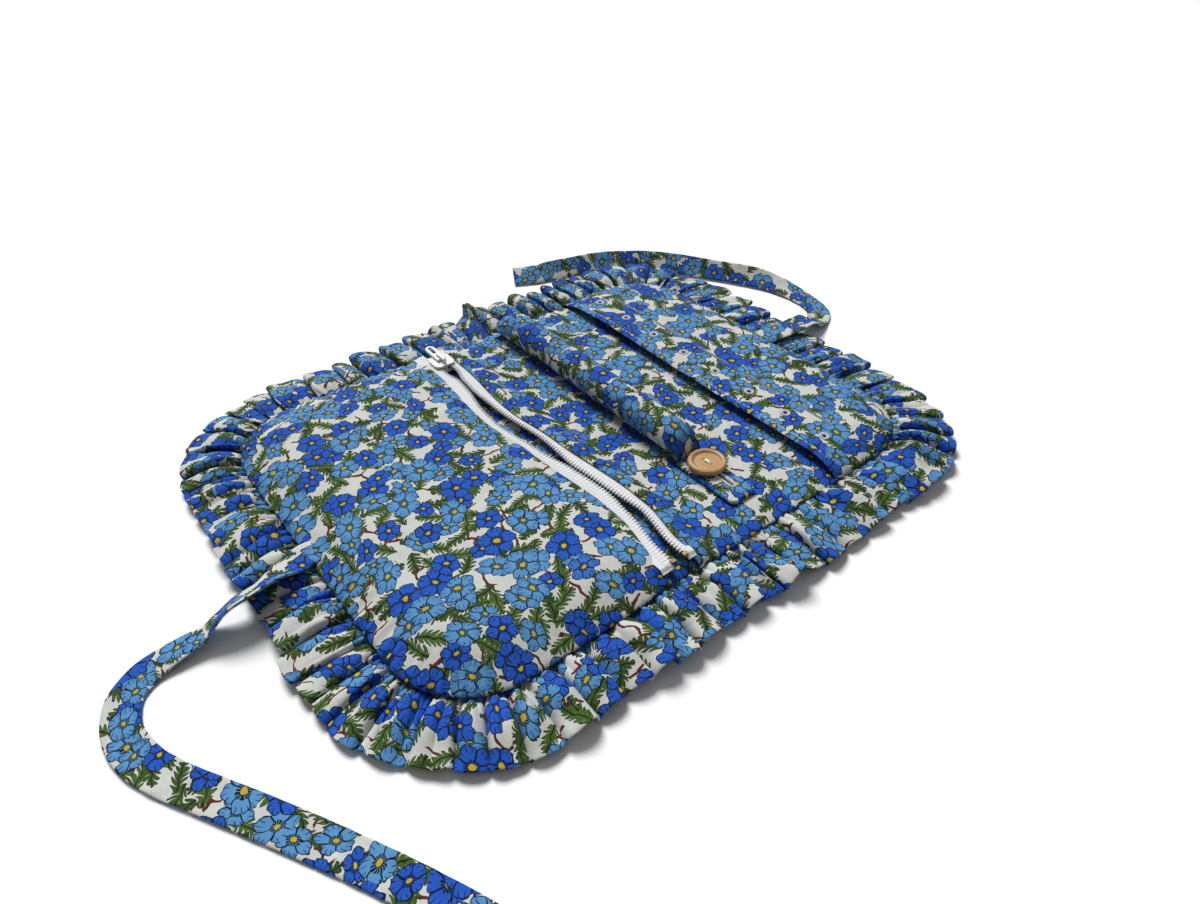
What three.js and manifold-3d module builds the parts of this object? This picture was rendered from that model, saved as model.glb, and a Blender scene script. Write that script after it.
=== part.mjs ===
// A padded jewellery pouch lying open: two soft halves joined by a folding spine, a zip pocket on one half, a
// stuffed ring bar and an earring flap on the other, a gathered frill round the seam and a tie at each end.
// Millimetres, +Z up. The origin is the centre of the underside. +X runs to the earring flap, +Y to the ring bar's
// sewn end. Pieces that touch are drawn 0.3 mm apart.

import * as THREE from 'three';
import { mergeVertices } from 'three/addons/utils/BufferGeometryUtils.js';
import Module from 'manifold-3d';

const wasm = await Module();
wasm.setup();

// Driving sizes
const bodyLength = 300;
const bodyWidth = 228;
const bodyCornerRadius = 40;
const foldSpacing = 30;
const clearance = 0.3;

const coverThickness = 1.2;
const waddingThickness = 4.7;
const liningThickness = 1.5;

const frillDepth = 32;
const frillThickness = 1.2;
const frillWaveHeight = 3.1;
const frillFoldPitch = 13.2;
const frillSeamHeight = 4.2;

const zipOffset = -26;
const tapeLift = 4.2;
const tapeThickness = 0.5;
const tapeEndDrop = 1.6;
const tapeEndLength = 2.5;
const coilRadius = 1.3;
const coilSpacing = 7.4;
const zipMouthWidth = 17;
const tapeUnderPanel = 2.6;
const sliderLength = 12;
const sliderPlateThickness = 1;
const sliderWedgeWidth = 3.8;
const sliderFlangeWidth = 1;
const sliderCornerRadius = 3;
const bottomStopLength = 2;
const topStopLength = 2;
const zipEndMargin = 4.5;
const bottomStopInset = 10.5;
const slotWindow = 0.4;

const bridgeWidth = 1.6;
const bridgeLength = 8;
const bridgeThickness = 0.8;
const pullerWidth = 5.5;
const pullerLength = 16;
const pullerThickness = 1.3;
const pullerSlotLength = 7;

const panelEdgeInset = 3;
const panelPadding = 2.5;
const hemThickness = 1.2;
const pocketCrownHeight = 7;
const panelRiseLength = 24;

const barDiameter = 19;
const barOffset = 28.5;
const barSeamInset = 7;
const barEndInset = 56;
const barClothThickness = 0.9;
const barFlatHeight = 3.2;
const barTaper = 24;
const tabWidth = 17;
const tabLength = 39;
const tabThickness = 2.4;
const tabLift = 0.6;
const tabCornerRadius = 3;

const buttonDiameter = 20;
const buttonThickness = 4;
const buttonDish = 1.2;
const buttonRimWidth = 4;
const buttonHoleRadius = 0.9;
const buttonHoleSpacing = 4.4;
const buttonInset = 11;
const buttonholeLength = 23;
const buttonholeWidth = 2.6;
const threadRadius = 0.5;

const flapDepth = 70;
const flapThickness = 1.4;
const flapLiftHeight = 4.7;
const eyeletOuterRadius = 3.2;
const eyeletInnerRadius = 1.5;
const eyeletHeight = 1.9;
const eyeletCount = 8;
const eyeletSpacing = 26.5;
const eyeletInset = 15;
const slitCount = 5;
const slitSpacing = 38;
const slitLength = 25;
const slitWidth = 1.2;
const slitInset = 26;

const tieWidth = 15;
const tieThickness = 1.8;
const tieDropMargin = 2;
const tieDropLength = 20;

// Places worked out from the driving sizes
const halfLength = bodyLength / 2;
const halfWidth = bodyWidth / 2;
const foldOffset = foldSpacing / 2;
const waddingBottom = coverThickness + clearance;
const waddingTop = waddingBottom + waddingThickness;
const liningBottom = waddingTop + clearance;
const liningTop = liningBottom + liningThickness;
const padBottom = liningTop + clearance;
const tapeBottom = liningTop + tapeLift;
const tapeTop = tapeBottom + tapeThickness;
const coilHeight = tapeBottom + tapeThickness / 2;
const coilOffset = coilSpacing / 2;
const tapeInnerOffset = coilOffset + coilRadius + clearance;
const tapeOuterOffset = zipMouthWidth / 2 + tapeUnderPanel;
const panelEdge = zipOffset - zipMouthWidth / 2;
const panelHalfWidth = halfWidth - panelEdgeInset;
const panelOuterEnd = halfLength - panelEdgeInset;
const panelCornerRadius = bodyCornerRadius - panelEdgeInset;
const tapeEnd = halfWidth - panelEdgeInset - clearance;
const tapeStraight = tapeEnd - tapeEndLength;
const topStopPlace = -(halfWidth - zipEndMargin) + topStopLength;
const coilTopEnd = topStopPlace + clearance;
const bottomStopPlace = halfWidth - bottomStopInset - bottomStopLength;
const coilBottomEnd = bottomStopPlace - clearance;
const sliderPlace = coilBottomEnd - slotWindow - sliderLength / 2;

// Cloth, plastic, wood and metal
const cloth = new THREE.MeshStandardMaterial({ color: 0xb9c3cf, roughness: 0.9 });
const clothUnder = new THREE.MeshStandardMaterial({ color: 0xa9bcd4, roughness: 0.9 });
const wadding = new THREE.MeshStandardMaterial({ color: 0xf1efe8, roughness: 1 });
const tapeWhite = new THREE.MeshStandardMaterial({ color: 0xf2f1ee, roughness: 0.85 });
const plasticWhite = new THREE.MeshStandardMaterial({ color: 0xf4f3ef, roughness: 0.35 });
const brass = new THREE.MeshStandardMaterial({ color: 0xa9793a, roughness: 0.4, metalness: 0.9 });
const wood = new THREE.MeshStandardMaterial({ color: 0xe1b074, roughness: 0.5 });
const thread = new THREE.MeshStandardMaterial({ color: 0xf6f4f0, roughness: 0.8 });

const pouch = new THREE.Group();

function addMesh(name, geometry, material) {
  const mesh = new THREE.Mesh(geometry, material);
  mesh.name = name;
  pouch.add(mesh);
  return mesh;
}

function smoothstep(from, to, value) {
  const t = Math.min(1, Math.max(0, (value - from) / (to - from)));
  return t * t * (3 - 2 * t);
}

function signedVolume(positions, index) {
  const at = (i) => new THREE.Vector3(positions[3 * i], positions[3 * i + 1], positions[3 * i + 2]);
  let sum = 0;
  for (let i = 0; i < index.length; i += 3) {
    sum += at(index[i]).dot(at(index[i + 1]).cross(at(index[i + 2])));
  }
  return sum / 6;
}

function closedGeometry(positions, index) {
  const faces = signedVolume(positions, index) < 0 ? [...index].reverse() : index;
  const geometry = new THREE.BufferGeometry();
  geometry.setAttribute('position', new THREE.Float32BufferAttribute(positions, 3));
  geometry.setIndex(faces);
  geometry.computeVertexNormals();
  return geometry;
}

// A sheet with thickness. Each entry of the grid holds the sheet's upper and lower point there.
function sheetGeometry(grid) {
  const rows = grid.length;
  const columns = grid[0].length;
  const positions = [];
  for (const layer of ['top', 'bottom']) {
    for (const row of grid) {
      for (const entry of row) positions.push(...entry[layer]);
    }
  }
  const at = (layer, i, j) => (layer * rows + i) * columns + j;
  const index = [];
  const quad = (a, b, c, d) => index.push(a, b, c, a, c, d);
  for (let i = 0; i + 1 < rows; i += 1) {
    for (let j = 0; j + 1 < columns; j += 1) {
      quad(at(0, i, j), at(0, i, j + 1), at(0, i + 1, j + 1), at(0, i + 1, j));
      quad(at(1, i, j), at(1, i + 1, j), at(1, i + 1, j + 1), at(1, i, j + 1));
    }
  }
  for (let i = 0; i + 1 < rows; i += 1) {
    quad(at(0, i, 0), at(0, i + 1, 0), at(1, i + 1, 0), at(1, i, 0));
    const j = columns - 1;
    quad(at(0, i + 1, j), at(0, i, j), at(1, i, j), at(1, i + 1, j));
  }
  for (let j = 0; j + 1 < columns; j += 1) {
    quad(at(0, 0, j + 1), at(0, 0, j), at(1, 0, j), at(1, 0, j + 1));
    const i = rows - 1;
    quad(at(0, i, j), at(0, i, j + 1), at(1, i, j + 1), at(1, i, j));
  }
  return closedGeometry(positions, index);
}

// A skin stretched over rings that all have as many points, closed by a fan at each end.
function loftGeometry(rings) {
  const sides = rings[0].length;
  const positions = rings.flat().flatMap((point) => point.toArray());
  const index = [];
  for (let i = 0; i + 1 < rings.length; i += 1) {
    for (let j = 0; j < sides; j += 1) {
      const k = (j + 1) % sides;
      const a = i * sides + j;
      const b = i * sides + k;
      index.push(a, b, b + sides, a, b + sides, a + sides);
    }
  }
  for (const end of [0, rings.length - 1]) {
    const centre = new THREE.Vector3();
    for (const point of rings[end]) centre.addScaledVector(point, 1 / sides);
    const hub = positions.length / 3;
    positions.push(...centre.toArray());
    for (let j = 0; j < sides; j += 1) {
      const a = end * sides + j;
      const b = end * sides + ((j + 1) % sides);
      index.push(...(end === 0 ? [hub, b, a] : [hub, a, b]));
    }
  }
  return closedGeometry(positions, index);
}

function toSolid(geometry) {
  const bare = geometry.clone();
  bare.deleteAttribute('normal');
  bare.deleteAttribute('uv');
  const merged = mergeVertices(bare, 1e-4);
  const vertProperties = Float32Array.from(merged.attributes.position.array);
  const triVerts = Uint32Array.from(merged.index.array);
  return new wasm.Manifold(new wasm.Mesh({ numProp: 3, vertProperties, triVerts }));
}

function toGeometry(solid) {
  const mesh = solid.getMesh();
  const geometry = new THREE.BufferGeometry();
  geometry.setAttribute('position', new THREE.Float32BufferAttribute(mesh.vertProperties, 3));
  geometry.setIndex(Array.from(mesh.triVerts));
  geometry.computeVertexNormals();
  return geometry;
}

function joined(geometries) {
  return toGeometry(geometries.map(toSolid).reduce((all, next) => all.add(next)));
}

function cut(geometry, tools) {
  return toGeometry(tools.map(toSolid).reduce((rest, tool) => rest.subtract(tool), toSolid(geometry)));
}

function boxBetween(low, high) {
  const size = high.map((value, axis) => value - low[axis]);
  const box = new THREE.BoxGeometry(...size);
  return box.translate(...high.map((value, axis) => (value + low[axis]) / 2));
}

function extruded(shape, bottom, top, curveSegments = 8) {
  const geometry = new THREE.ExtrudeGeometry(shape, { depth: top - bottom, bevelEnabled: false, curveSegments });
  return geometry.translate(0, 0, bottom);
}

function roundedRectangle(width, length, radius) {
  const x = width / 2 - radius;
  const y = length / 2 - radius;
  const shape = new THREE.Shape();
  shape.absarc(x, y, radius, 0, Math.PI / 2);
  shape.absarc(-x, y, radius, Math.PI / 2, Math.PI);
  shape.absarc(-x, -y, radius, Math.PI, 1.5 * Math.PI);
  shape.absarc(x, -y, radius, 1.5 * Math.PI, 2 * Math.PI);
  return shape;
}

// Padded base: cover, wadding and lining on each half, side -1 or +1, and on the spine between the folds
function halfOutline(side) {
  const radius = bodyCornerRadius;
  const shape = new THREE.Shape();
  const points = [];
  const corner = (y, from, to) => {
    const steps = 9;
    for (let i = 0; i <= steps; i += 1) {
      const angle = THREE.MathUtils.lerp(from, to, i / steps);
      const x = halfLength - radius + radius * Math.cos(angle);
      points.push(new THREE.Vector2(side * x, y + radius * Math.sin(angle)));
    }
  };
  points.push(new THREE.Vector2(side * (foldOffset + clearance / 2), -halfWidth));
  corner(-(halfWidth - radius), -Math.PI / 2, 0);
  corner(halfWidth - radius, 0, Math.PI / 2);
  points.push(new THREE.Vector2(side * (foldOffset + clearance / 2), halfWidth));
  shape.setFromPoints(points);
  return shape;
}

function spineOutline() {
  const x = foldOffset - clearance / 2;
  const shape = new THREE.Shape();
  shape.setFromPoints([
    new THREE.Vector2(-x, -halfWidth),
    new THREE.Vector2(x, -halfWidth),
    new THREE.Vector2(x, halfWidth),
    new THREE.Vector2(-x, halfWidth),
  ]);
  return shape;
}

const outlines = { near: halfOutline(-1), spine: spineOutline(), far: halfOutline(1) };
for (const [part, outline] of Object.entries(outlines)) {
  addMesh(`cover_${part}`, extruded(outline, 0, coverThickness), cloth);
  addMesh(`wadding_${part}`, extruded(outline, waddingBottom, waddingTop), wadding);
  addMesh(`lining_${part}`, extruded(outline, liningBottom, liningTop), clothUnder);
}

// Frill: a gathered strip sewn into the seam all round, cut at the two fold lines
const frillStart = clearance;
const frillMiddle = frillDepth / 2;
const straightX = halfLength - bodyCornerRadius;
const straightY = halfWidth - bodyCornerRadius;
const cornerMiddleRadius = bodyCornerRadius + frillMiddle;

// The seam's point and outward normal at a distance along the frill's middle line, from the middle of one long
// side round one end to the middle of the other long side. End is -1 for the near end and +1 for the far end.
function seamAt(distance, end) {
  const arc = (cornerMiddleRadius * Math.PI) / 2;
  const whole = 2 * straightX + 2 * straightY + 2 * arc;
  const back = distance > whole / 2;
  const along = back ? whole - distance : distance;
  const side = back ? -1 : 1;
  if (along < straightX) return { x: end * along, y: side * halfWidth, nx: 0, ny: side };
  if (along < straightX + arc) {
    const angle = (along - straightX) / cornerMiddleRadius;
    const nx = end * Math.sin(angle);
    const ny = side * Math.cos(angle);
    const x = end * straightX + bodyCornerRadius * nx;
    return { x, y: side * straightY + bodyCornerRadius * ny, nx, ny };
  }
  return { x: end * halfLength, y: side * (straightX + arc + straightY - along), nx: end, ny: 0 };
}

const frillHalfLength = 2 * straightX + 2 * straightY + cornerMiddleRadius * Math.PI;

function frillWave(distance) {
  const phase = (2 * Math.PI * distance) / frillFoldPitch;
  return Math.sin(phase + 0.7 * Math.sin(0.31 * phase) + 0.5 * Math.sin(0.13 * phase + 1));
}

function frillGeometry(end, from, to, stepsPerFold) {
  const steps = Math.round(((to - from) / frillFoldPitch) * stepsPerFold);
  const grid = [];
  for (let i = 0; i <= steps; i += 1) {
    const distance = THREE.MathUtils.lerp(from, to, i / steps);
    const { x, y, nx, ny } = seamAt(Math.abs(distance), distance < 0 ? -end : end);
    const row = [0, 0.45, 1].map((share) => {
      const out = THREE.MathUtils.lerp(frillStart, frillDepth, share);
      const height = frillSeamHeight + frillWaveHeight * smoothstep(-0.25, 0.9, share) * frillWave(distance);
      const place = [x + nx * out, y + ny * out];
      const half = frillThickness / 2;
      return { top: [...place, height + half], bottom: [...place, height - half] };
    });
    grid.push(row);
  }
  return sheetGeometry(grid);
}

const frillCut = foldOffset + clearance / 2;
const frillStepsPerFold = 5;
for (const [name, end] of [['near', -1], ['far', 1]]) {
  const geometry = frillGeometry(end, frillCut, frillHalfLength - frillCut, frillStepsPerFold);
  addMesh(`frill_${name}`, geometry, cloth);
}
const spineFrillEnd = foldOffset - clearance / 2;
const spineFrill = frillGeometry(1, -spineFrillEnd, spineFrillEnd, 2 * frillStepsPerFold);
addMesh('frill_spine_left', spineFrill, cloth);
addMesh('frill_spine_right', spineFrill.clone().rotateZ(Math.PI), cloth);

// Zip pocket: a padded panel sewn down on three sides, full in the middle, its fourth side on the zip
function panelOuterX(y) {
  const past = Math.abs(y) - (panelHalfWidth - panelCornerRadius);
  if (past <= 0) return panelOuterEnd;
  return panelOuterEnd - panelCornerRadius + Math.sqrt(Math.max(0, panelCornerRadius ** 2 - past ** 2));
}

// Rows across a panel of one half, closer together where the corners turn
function panelRows(count) {
  const rows = [];
  for (let i = 0; i <= count; i += 1) {
    const t = (2 * i) / count - 1;
    rows.push(panelHalfWidth * Math.sin((t * Math.PI) / 2) * 0.35 + panelHalfWidth * t * 0.65);
  }
  rows.push(-tapeStraight, tapeStraight);
  return rows.sort((a, b) => a - b);
}

function pocketEntry(x, y) {
  const across = (2 * (x + panelOuterX(y))) / (panelEdge + panelOuterX(y)) - 1;
  const along = y / panelHalfWidth;
  const fullness = (1 - across ** 4) * (1 - along ** 6);
  const overTape = smoothstep(panelEdge - panelRiseLength, panelEdge - tapeUnderPanel, x);
  const drop = tapeEndDrop * Math.max(0, (Math.abs(y) - tapeStraight) / tapeEndLength);
  const tapeRise = tapeTop + clearance - padBottom - drop;
  const low = padBottom + overTape * tapeRise + pocketCrownHeight * fullness;
  const thickness = hemThickness + (panelPadding - hemThickness) * Math.min(1, 3 * fullness);
  return { top: [x, y, low + thickness], bottom: [x, y, low] };
}

const pocketColumns = 14;
const pocketGrid = panelRows(18).map((y) => {
  const row = [];
  for (let j = 0; j <= pocketColumns; j += 1) {
    const t = 0.5 - 0.5 * Math.cos((Math.PI * j) / pocketColumns);
    const x = THREE.MathUtils.lerp(-panelOuterX(y), panelEdge, 0.5 * t + (0.5 * j) / pocketColumns);
    row.push(pocketEntry(x, y));
  }
  return row;
});
addMesh('pocket_panel', sheetGeometry(pocketGrid), cloth);

// The spine side of the zip: a turned hem that holds the far tape's edge
const hemOuter = -(foldOffset + clearance + 0.1);
const hemWeb = 1.2;
const hemBack = hemOuter - hemWeb;
const hemFront = zipOffset + zipMouthWidth / 2 - 1;
const hemProfile = new THREE.Shape();
hemProfile.setFromPoints([
  new THREE.Vector2(hemOuter, padBottom),
  new THREE.Vector2(hemOuter, tapeTop + clearance + hemThickness),
  new THREE.Vector2(hemFront, tapeTop + clearance + hemThickness),
  new THREE.Vector2(hemFront, tapeTop + clearance),
  new THREE.Vector2(hemBack, tapeTop + clearance),
  new THREE.Vector2(hemBack, padBottom),
]);
const hem = new THREE.ExtrudeGeometry(hemProfile, { depth: 2 * panelHalfWidth, bevelEnabled: false });
addMesh('zip_hem', hem.rotateX(Math.PI / 2).translate(0, panelHalfWidth, 0), cloth);

// Zip: two tapes with a coil each, apart along the open mouth
function tapeGeometry(innerX, outerX) {
  const profile = new THREE.Shape();
  profile.setFromPoints([
    new THREE.Vector2(-tapeEnd, tapeBottom - tapeEndDrop),
    new THREE.Vector2(-tapeStraight, tapeBottom),
    new THREE.Vector2(tapeStraight, tapeBottom),
    new THREE.Vector2(tapeEnd, tapeBottom - tapeEndDrop),
    new THREE.Vector2(tapeEnd, tapeTop - tapeEndDrop),
    new THREE.Vector2(tapeStraight, tapeTop),
    new THREE.Vector2(-tapeStraight, tapeTop),
    new THREE.Vector2(-tapeEnd, tapeTop - tapeEndDrop),
  ]);
  const width = Math.abs(outerX - innerX);
  const geometry = new THREE.ExtrudeGeometry(profile, { depth: width, bevelEnabled: false });
  geometry.rotateX(Math.PI / 2).rotateZ(Math.PI / 2);
  return geometry.translate(Math.min(innerX, outerX), 0, 0);
}

const tapeEdges = { near: zipOffset - tapeOuterOffset, far: hemBack - clearance };
for (const [part, side] of [['near', -1], ['far', 1]]) {
  const x = zipOffset + side * coilOffset;
  addMesh(`zip_tape_${part}`, tapeGeometry(zipOffset + side * tapeInnerOffset, tapeEdges[part]), tapeWhite);
  const coilLength = coilBottomEnd - coilTopEnd;
  const coil = new THREE.CylinderGeometry(coilRadius, coilRadius, coilLength, 8);
  coil.translate(x, (coilBottomEnd + coilTopEnd) / 2, coilHeight);
  addMesh(`zip_coil_${part}`, coil, tapeWhite);
  const low = [x - coilRadius, topStopPlace - topStopLength, coilHeight - coilRadius];
  const high = [x + coilRadius, topStopPlace, coilHeight + coilRadius];
  addMesh(`top_stop_${part}`, boxBetween(low, high), brass);
}
const bottomStopHalf = coilOffset + coilRadius;
const bottomStop = boxBetween(
  [zipOffset - bottomStopHalf, bottomStopPlace, coilHeight - coilRadius],
  [zipOffset + bottomStopHalf, bottomStopPlace + bottomStopLength, coilHeight + coilRadius],
);
addMesh('bottom_stop', bottomStop, plasticWhite);

// Slider: two plates joined by a wedge between the coils, with a flange down each side and a bridge on top
const channelLow = coilHeight - coilRadius - clearance;
const channelHigh = coilHeight + coilRadius + clearance;
const flangeInner = coilOffset + coilRadius + clearance;
const flangeOuter = flangeInner + sliderFlangeWidth;
const sliderTop = channelHigh + sliderPlateThickness;
const pullerCorner = (pullerThickness / 2) * Math.SQRT2;
const pullerAxis = sliderTop + pullerCorner + clearance / 2;
const bridgeUnderside = pullerAxis + pullerCorner + clearance / 2;

function sliderGeometry() {
  const plate = roundedRectangle(2 * flangeOuter, sliderLength, sliderCornerRadius);
  const pieces = [
    extruded(plate, channelLow - sliderPlateThickness, channelLow, 4),
    extruded(plate, channelHigh, sliderTop, 4),
  ];
  const overlap = 0.2;
  const half = sliderLength / 2;
  const wedge = roundedRectangle(sliderWedgeWidth, half, sliderWedgeWidth / 2 - 0.1);
  pieces.push(extruded(wedge, channelLow - overlap, channelHigh + overlap, 4).translate(0, -half / 2 + 1, 0));
  const flangeHalf = half - sliderCornerRadius;
  for (const side of [-1, 1]) {
    const xs = [side * flangeInner, side * flangeOuter].sort((a, b) => a - b);
    const lowTop = tapeBottom - clearance;
    const highBottom = tapeTop + clearance;
    pieces.push(boxBetween([xs[0], -flangeHalf, channelLow - overlap], [xs[1], flangeHalf, lowTop]));
    pieces.push(boxBetween([xs[0], -flangeHalf, highBottom], [xs[1], flangeHalf, channelHigh + overlap]));
  }
  const leg = bridgeThickness;
  const bridgeHalf = bridgeLength / 2;
  const bridgeTop = bridgeUnderside + bridgeThickness;
  for (const y of [-bridgeHalf, bridgeHalf - leg]) {
    const low = [-bridgeWidth / 2, y, sliderTop - overlap];
    pieces.push(boxBetween(low, [bridgeWidth / 2, y + leg, bridgeTop]));
  }
  const low = [-bridgeWidth / 2, -bridgeHalf, bridgeUnderside];
  pieces.push(boxBetween(low, [bridgeWidth / 2, bridgeHalf, bridgeTop]));
  return joined(pieces).translate(zipOffset, sliderPlace, 0);
}
addMesh('slider_body', sliderGeometry(), plasticWhite);

// Puller: a flat loop whose cross bar turns under the slider's bridge
function pullerGeometry() {
  const half = pullerWidth / 2;
  const barHalf = pullerThickness / 2;
  const outline = new THREE.Shape();
  outline.moveTo(-half, -barHalf);
  outline.lineTo(half, -barHalf);
  outline.lineTo(half, pullerLength - half);
  outline.absarc(0, pullerLength - half, half, 0, Math.PI);
  const windowHalf = bridgeWidth / 2 + clearance;
  const reach = Math.hypot(bridgeLength / 2, bridgeUnderside + bridgeThickness - pullerAxis) + clearance;
  const bridgeWindow = new THREE.Path();
  bridgeWindow.moveTo(-windowHalf, barHalf);
  bridgeWindow.lineTo(-windowHalf, reach);
  bridgeWindow.lineTo(windowHalf, reach);
  bridgeWindow.lineTo(windowHalf, barHalf);
  const slotRadius = windowHalf;
  const slotEnd = pullerLength - half + 0.3;
  const slotStart = slotEnd - pullerSlotLength + slotRadius;
  const slot = new THREE.Path();
  slot.absarc(0, slotEnd, slotRadius, 0, Math.PI);
  slot.absarc(0, slotStart, slotRadius, Math.PI, 2 * Math.PI);
  outline.holes.push(bridgeWindow, slot);
  const low = pullerAxis - pullerThickness / 2;
  return extruded(outline, low, low + pullerThickness, 6).translate(zipOffset, sliderPlace, 0);
}
addMesh('puller', pullerGeometry(), plasticWhite);

// Ring bar: a stuffed tube sewn into the seam at +Y, drawn flat at both ends
const barStart = halfWidth - barSeamInset;
const barTubeEnd = -(halfWidth - barEndInset);
const barRingSides = 14;

function barRing(y, inset) {
  const toSeam = (barStart - y) / barTaper;
  const toTab = (y - barTubeEnd) / (0.6 * barTaper);
  const swell = Math.min(1, Math.max(0, toSeam), Math.max(0, toTab));
  const roundness = Math.sqrt(1 - (1 - swell) ** 2);
  const halfHeight = THREE.MathUtils.lerp(barFlatHeight / 2, barDiameter / 2, roundness);
  const halfAcross = THREE.MathUtils.lerp(tabWidth / 2, barDiameter / 2, roundness);
  const ring = [];
  for (let i = 0; i < barRingSides; i += 1) {
    const angle = (2 * Math.PI * i) / barRingSides;
    const x = barOffset + (halfAcross - inset) * Math.cos(angle);
    const z = padBottom + halfHeight + (halfHeight - inset) * Math.sin(angle);
    ring.push(new THREE.Vector3(x, y, z));
  }
  return ring;
}

function barStations(from, to) {
  const shares = [0, 0.02, 0.05, 0.09, 0.15, 0.5, 0.9, 0.94, 0.97, 0.985, 1];
  return shares.map((share) => THREE.MathUtils.lerp(from, to, share));
}

const barOuter = barStations(barStart, barTubeEnd).map((y) => barRing(y, 0));
const innerStations = barStations(barStart - 2, barTubeEnd);
const barInner = innerStations.map((y) => barRing(y, barClothThickness));
addMesh('bar_cover', loftGeometry([...barOuter, ...barInner.reverse()]), cloth);
const stuffing = innerStations.slice(1, -1).map((y) => barRing(y, barClothThickness + clearance));
addMesh('bar_stuffing', loftGeometry(stuffing), wadding);

// Tab: the bar's flat end with a buttonhole, and the button sewn to the lining through it
const tabStart = barTubeEnd - clearance;
const tabEnd = tabStart - tabLength;
const tabBottom = liningTop + tabLift;
const tabTop = tabBottom + tabThickness;
const buttonPlace = tabStart - buttonInset;
const buttonX = barOffset + 1.5;
const buttonBottom = tabTop + clearance;

function tabGeometry() {
  const plate = roundedRectangle(tabWidth, tabLength, tabCornerRadius);
  const buttonhole = new THREE.Path();
  const slotRadius = buttonholeWidth / 2;
  const from = buttonPlace + 3 - (tabStart + tabEnd) / 2;
  const shift = buttonX - barOffset;
  buttonhole.absarc(shift, from, slotRadius, 0, Math.PI);
  buttonhole.absarc(shift, from - buttonholeLength + buttonholeWidth, slotRadius, Math.PI, 2 * Math.PI);
  plate.holes.push(buttonhole);
  return extruded(plate, tabBottom, tabTop, 5).translate(barOffset, (tabStart + tabEnd) / 2, 0);
}
addMesh('bar_tab', tabGeometry(), cloth);

function buttonGeometry() {
  const radius = buttonDiameter / 2;
  const top = buttonThickness;
  const profile = [
    [0, 0],
    [radius - 2.2, 0],
    [radius, 1.4],
    [radius, top - 0.9],
    [radius - 1.1, top],
    [radius - 2.3, top - 0.2],
    [radius - buttonRimWidth, top - buttonDish],
    [0, top - buttonDish],
  ].map(([r, z]) => new THREE.Vector2(r, z));
  const disc = new THREE.LatheGeometry(profile, 28).rotateX(Math.PI / 2);
  const holes = [-1, 1].map((side) => {
    const hole = new THREE.CylinderGeometry(buttonHoleRadius, buttonHoleRadius, 3 * top, 10);
    return hole.rotateX(Math.PI / 2).translate(0, (side * buttonHoleSpacing) / 2, 0);
  });
  return cut(disc, holes).translate(buttonX, buttonPlace, buttonBottom);
}
addMesh('button', buttonGeometry(), wood);

function buttonThreadGeometry() {
  const bridge = 0.6;
  const under = buttonBottom - clearance - bridge;
  const over = buttonBottom + buttonThickness - buttonDish + clearance;
  const reach = buttonHoleSpacing / 2 + threadRadius;
  const stitch = (bottom) => boxBetween([-threadRadius, -reach, bottom], [threadRadius, reach, bottom + bridge]);
  const pieces = [stitch(under), stitch(over)];
  for (const side of [-1, 1]) {
    const height = over - under + bridge / 2;
    const column = new THREE.CylinderGeometry(threadRadius, threadRadius, height, 8).rotateX(Math.PI / 2);
    pieces.push(column.translate(0, (side * buttonHoleSpacing) / 2, under + bridge / 4 + height / 2));
  }
  const shank = new THREE.CylinderGeometry(threadRadius, threadRadius, under + bridge / 2 - padBottom, 8);
  shank.rotateX(Math.PI / 2).translate(0, 0, (padBottom + under + bridge / 2) / 2);
  pieces.push(shank);
  return joined(pieces).translate(buttonX, buttonPlace, 0);
}
addMesh('button_thread', buttonThreadGeometry(), thread);

// Earring flap: a stiffened flap sewn down on three sides, standing a little proud along its free edge
const flapEdge = panelOuterEnd - flapDepth;

function flapEntry(x, y) {
  const across = (panelOuterX(y) - x) / (panelOuterX(y) - flapEdge);
  const fullAcross = smoothstep(0, 0.3, across);
  const fullAlong = smoothstep(0, 0.13, 1 - Math.abs(y) / panelHalfWidth);
  const low = padBottom + flapLiftHeight * fullAcross * fullAlong;
  return { top: [x, y, low + flapThickness], bottom: [x, y, low] };
}

function flapGeometry() {
  const flatShares = [0, 0.06, 0.14, 0.22, 0.3, 1];
  const alongShares = [-1, -0.97, -0.935, -0.9, -0.87, 0.87, 0.9, 0.935, 0.97, 1];
  const cornerShares = [-0.8, -0.72, -0.67, 0.67, 0.72, 0.8];
  const rows = [...alongShares, ...cornerShares].sort((a, b) => a - b).map((share) => share * panelHalfWidth);
  const grid = rows.map((y) =>
    flatShares.map((share) => flapEntry(THREE.MathUtils.lerp(panelOuterX(y), flapEdge, share), y)),
  );
  const tools = [];
  const flapTop = padBottom + flapLiftHeight + flapThickness;
  for (const y of spread(eyeletCount, eyeletSpacing)) {
    const radius = eyeletOuterRadius + clearance;
    const hole = new THREE.CylinderGeometry(radius, radius, flapTop, 14).rotateX(Math.PI / 2);
    tools.push(hole.translate(flapEdge + eyeletInset, y, flapTop));
  }
  for (const y of spread(slitCount, slitSpacing)) {
    const x = flapEdge + slitInset;
    const low = [x - slitWidth / 2, y - slitLength / 2, padBottom];
    tools.push(boxBetween(low, [x + slitWidth / 2, y + slitLength / 2, 2 * flapTop]));
  }
  return cut(sheetGeometry(grid), tools);
}

function spread(count, spacing) {
  return Array.from({ length: count }, (_, i) => (i - (count - 1) / 2) * spacing);
}
addMesh('earring_flap', flapGeometry(), cloth);

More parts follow.
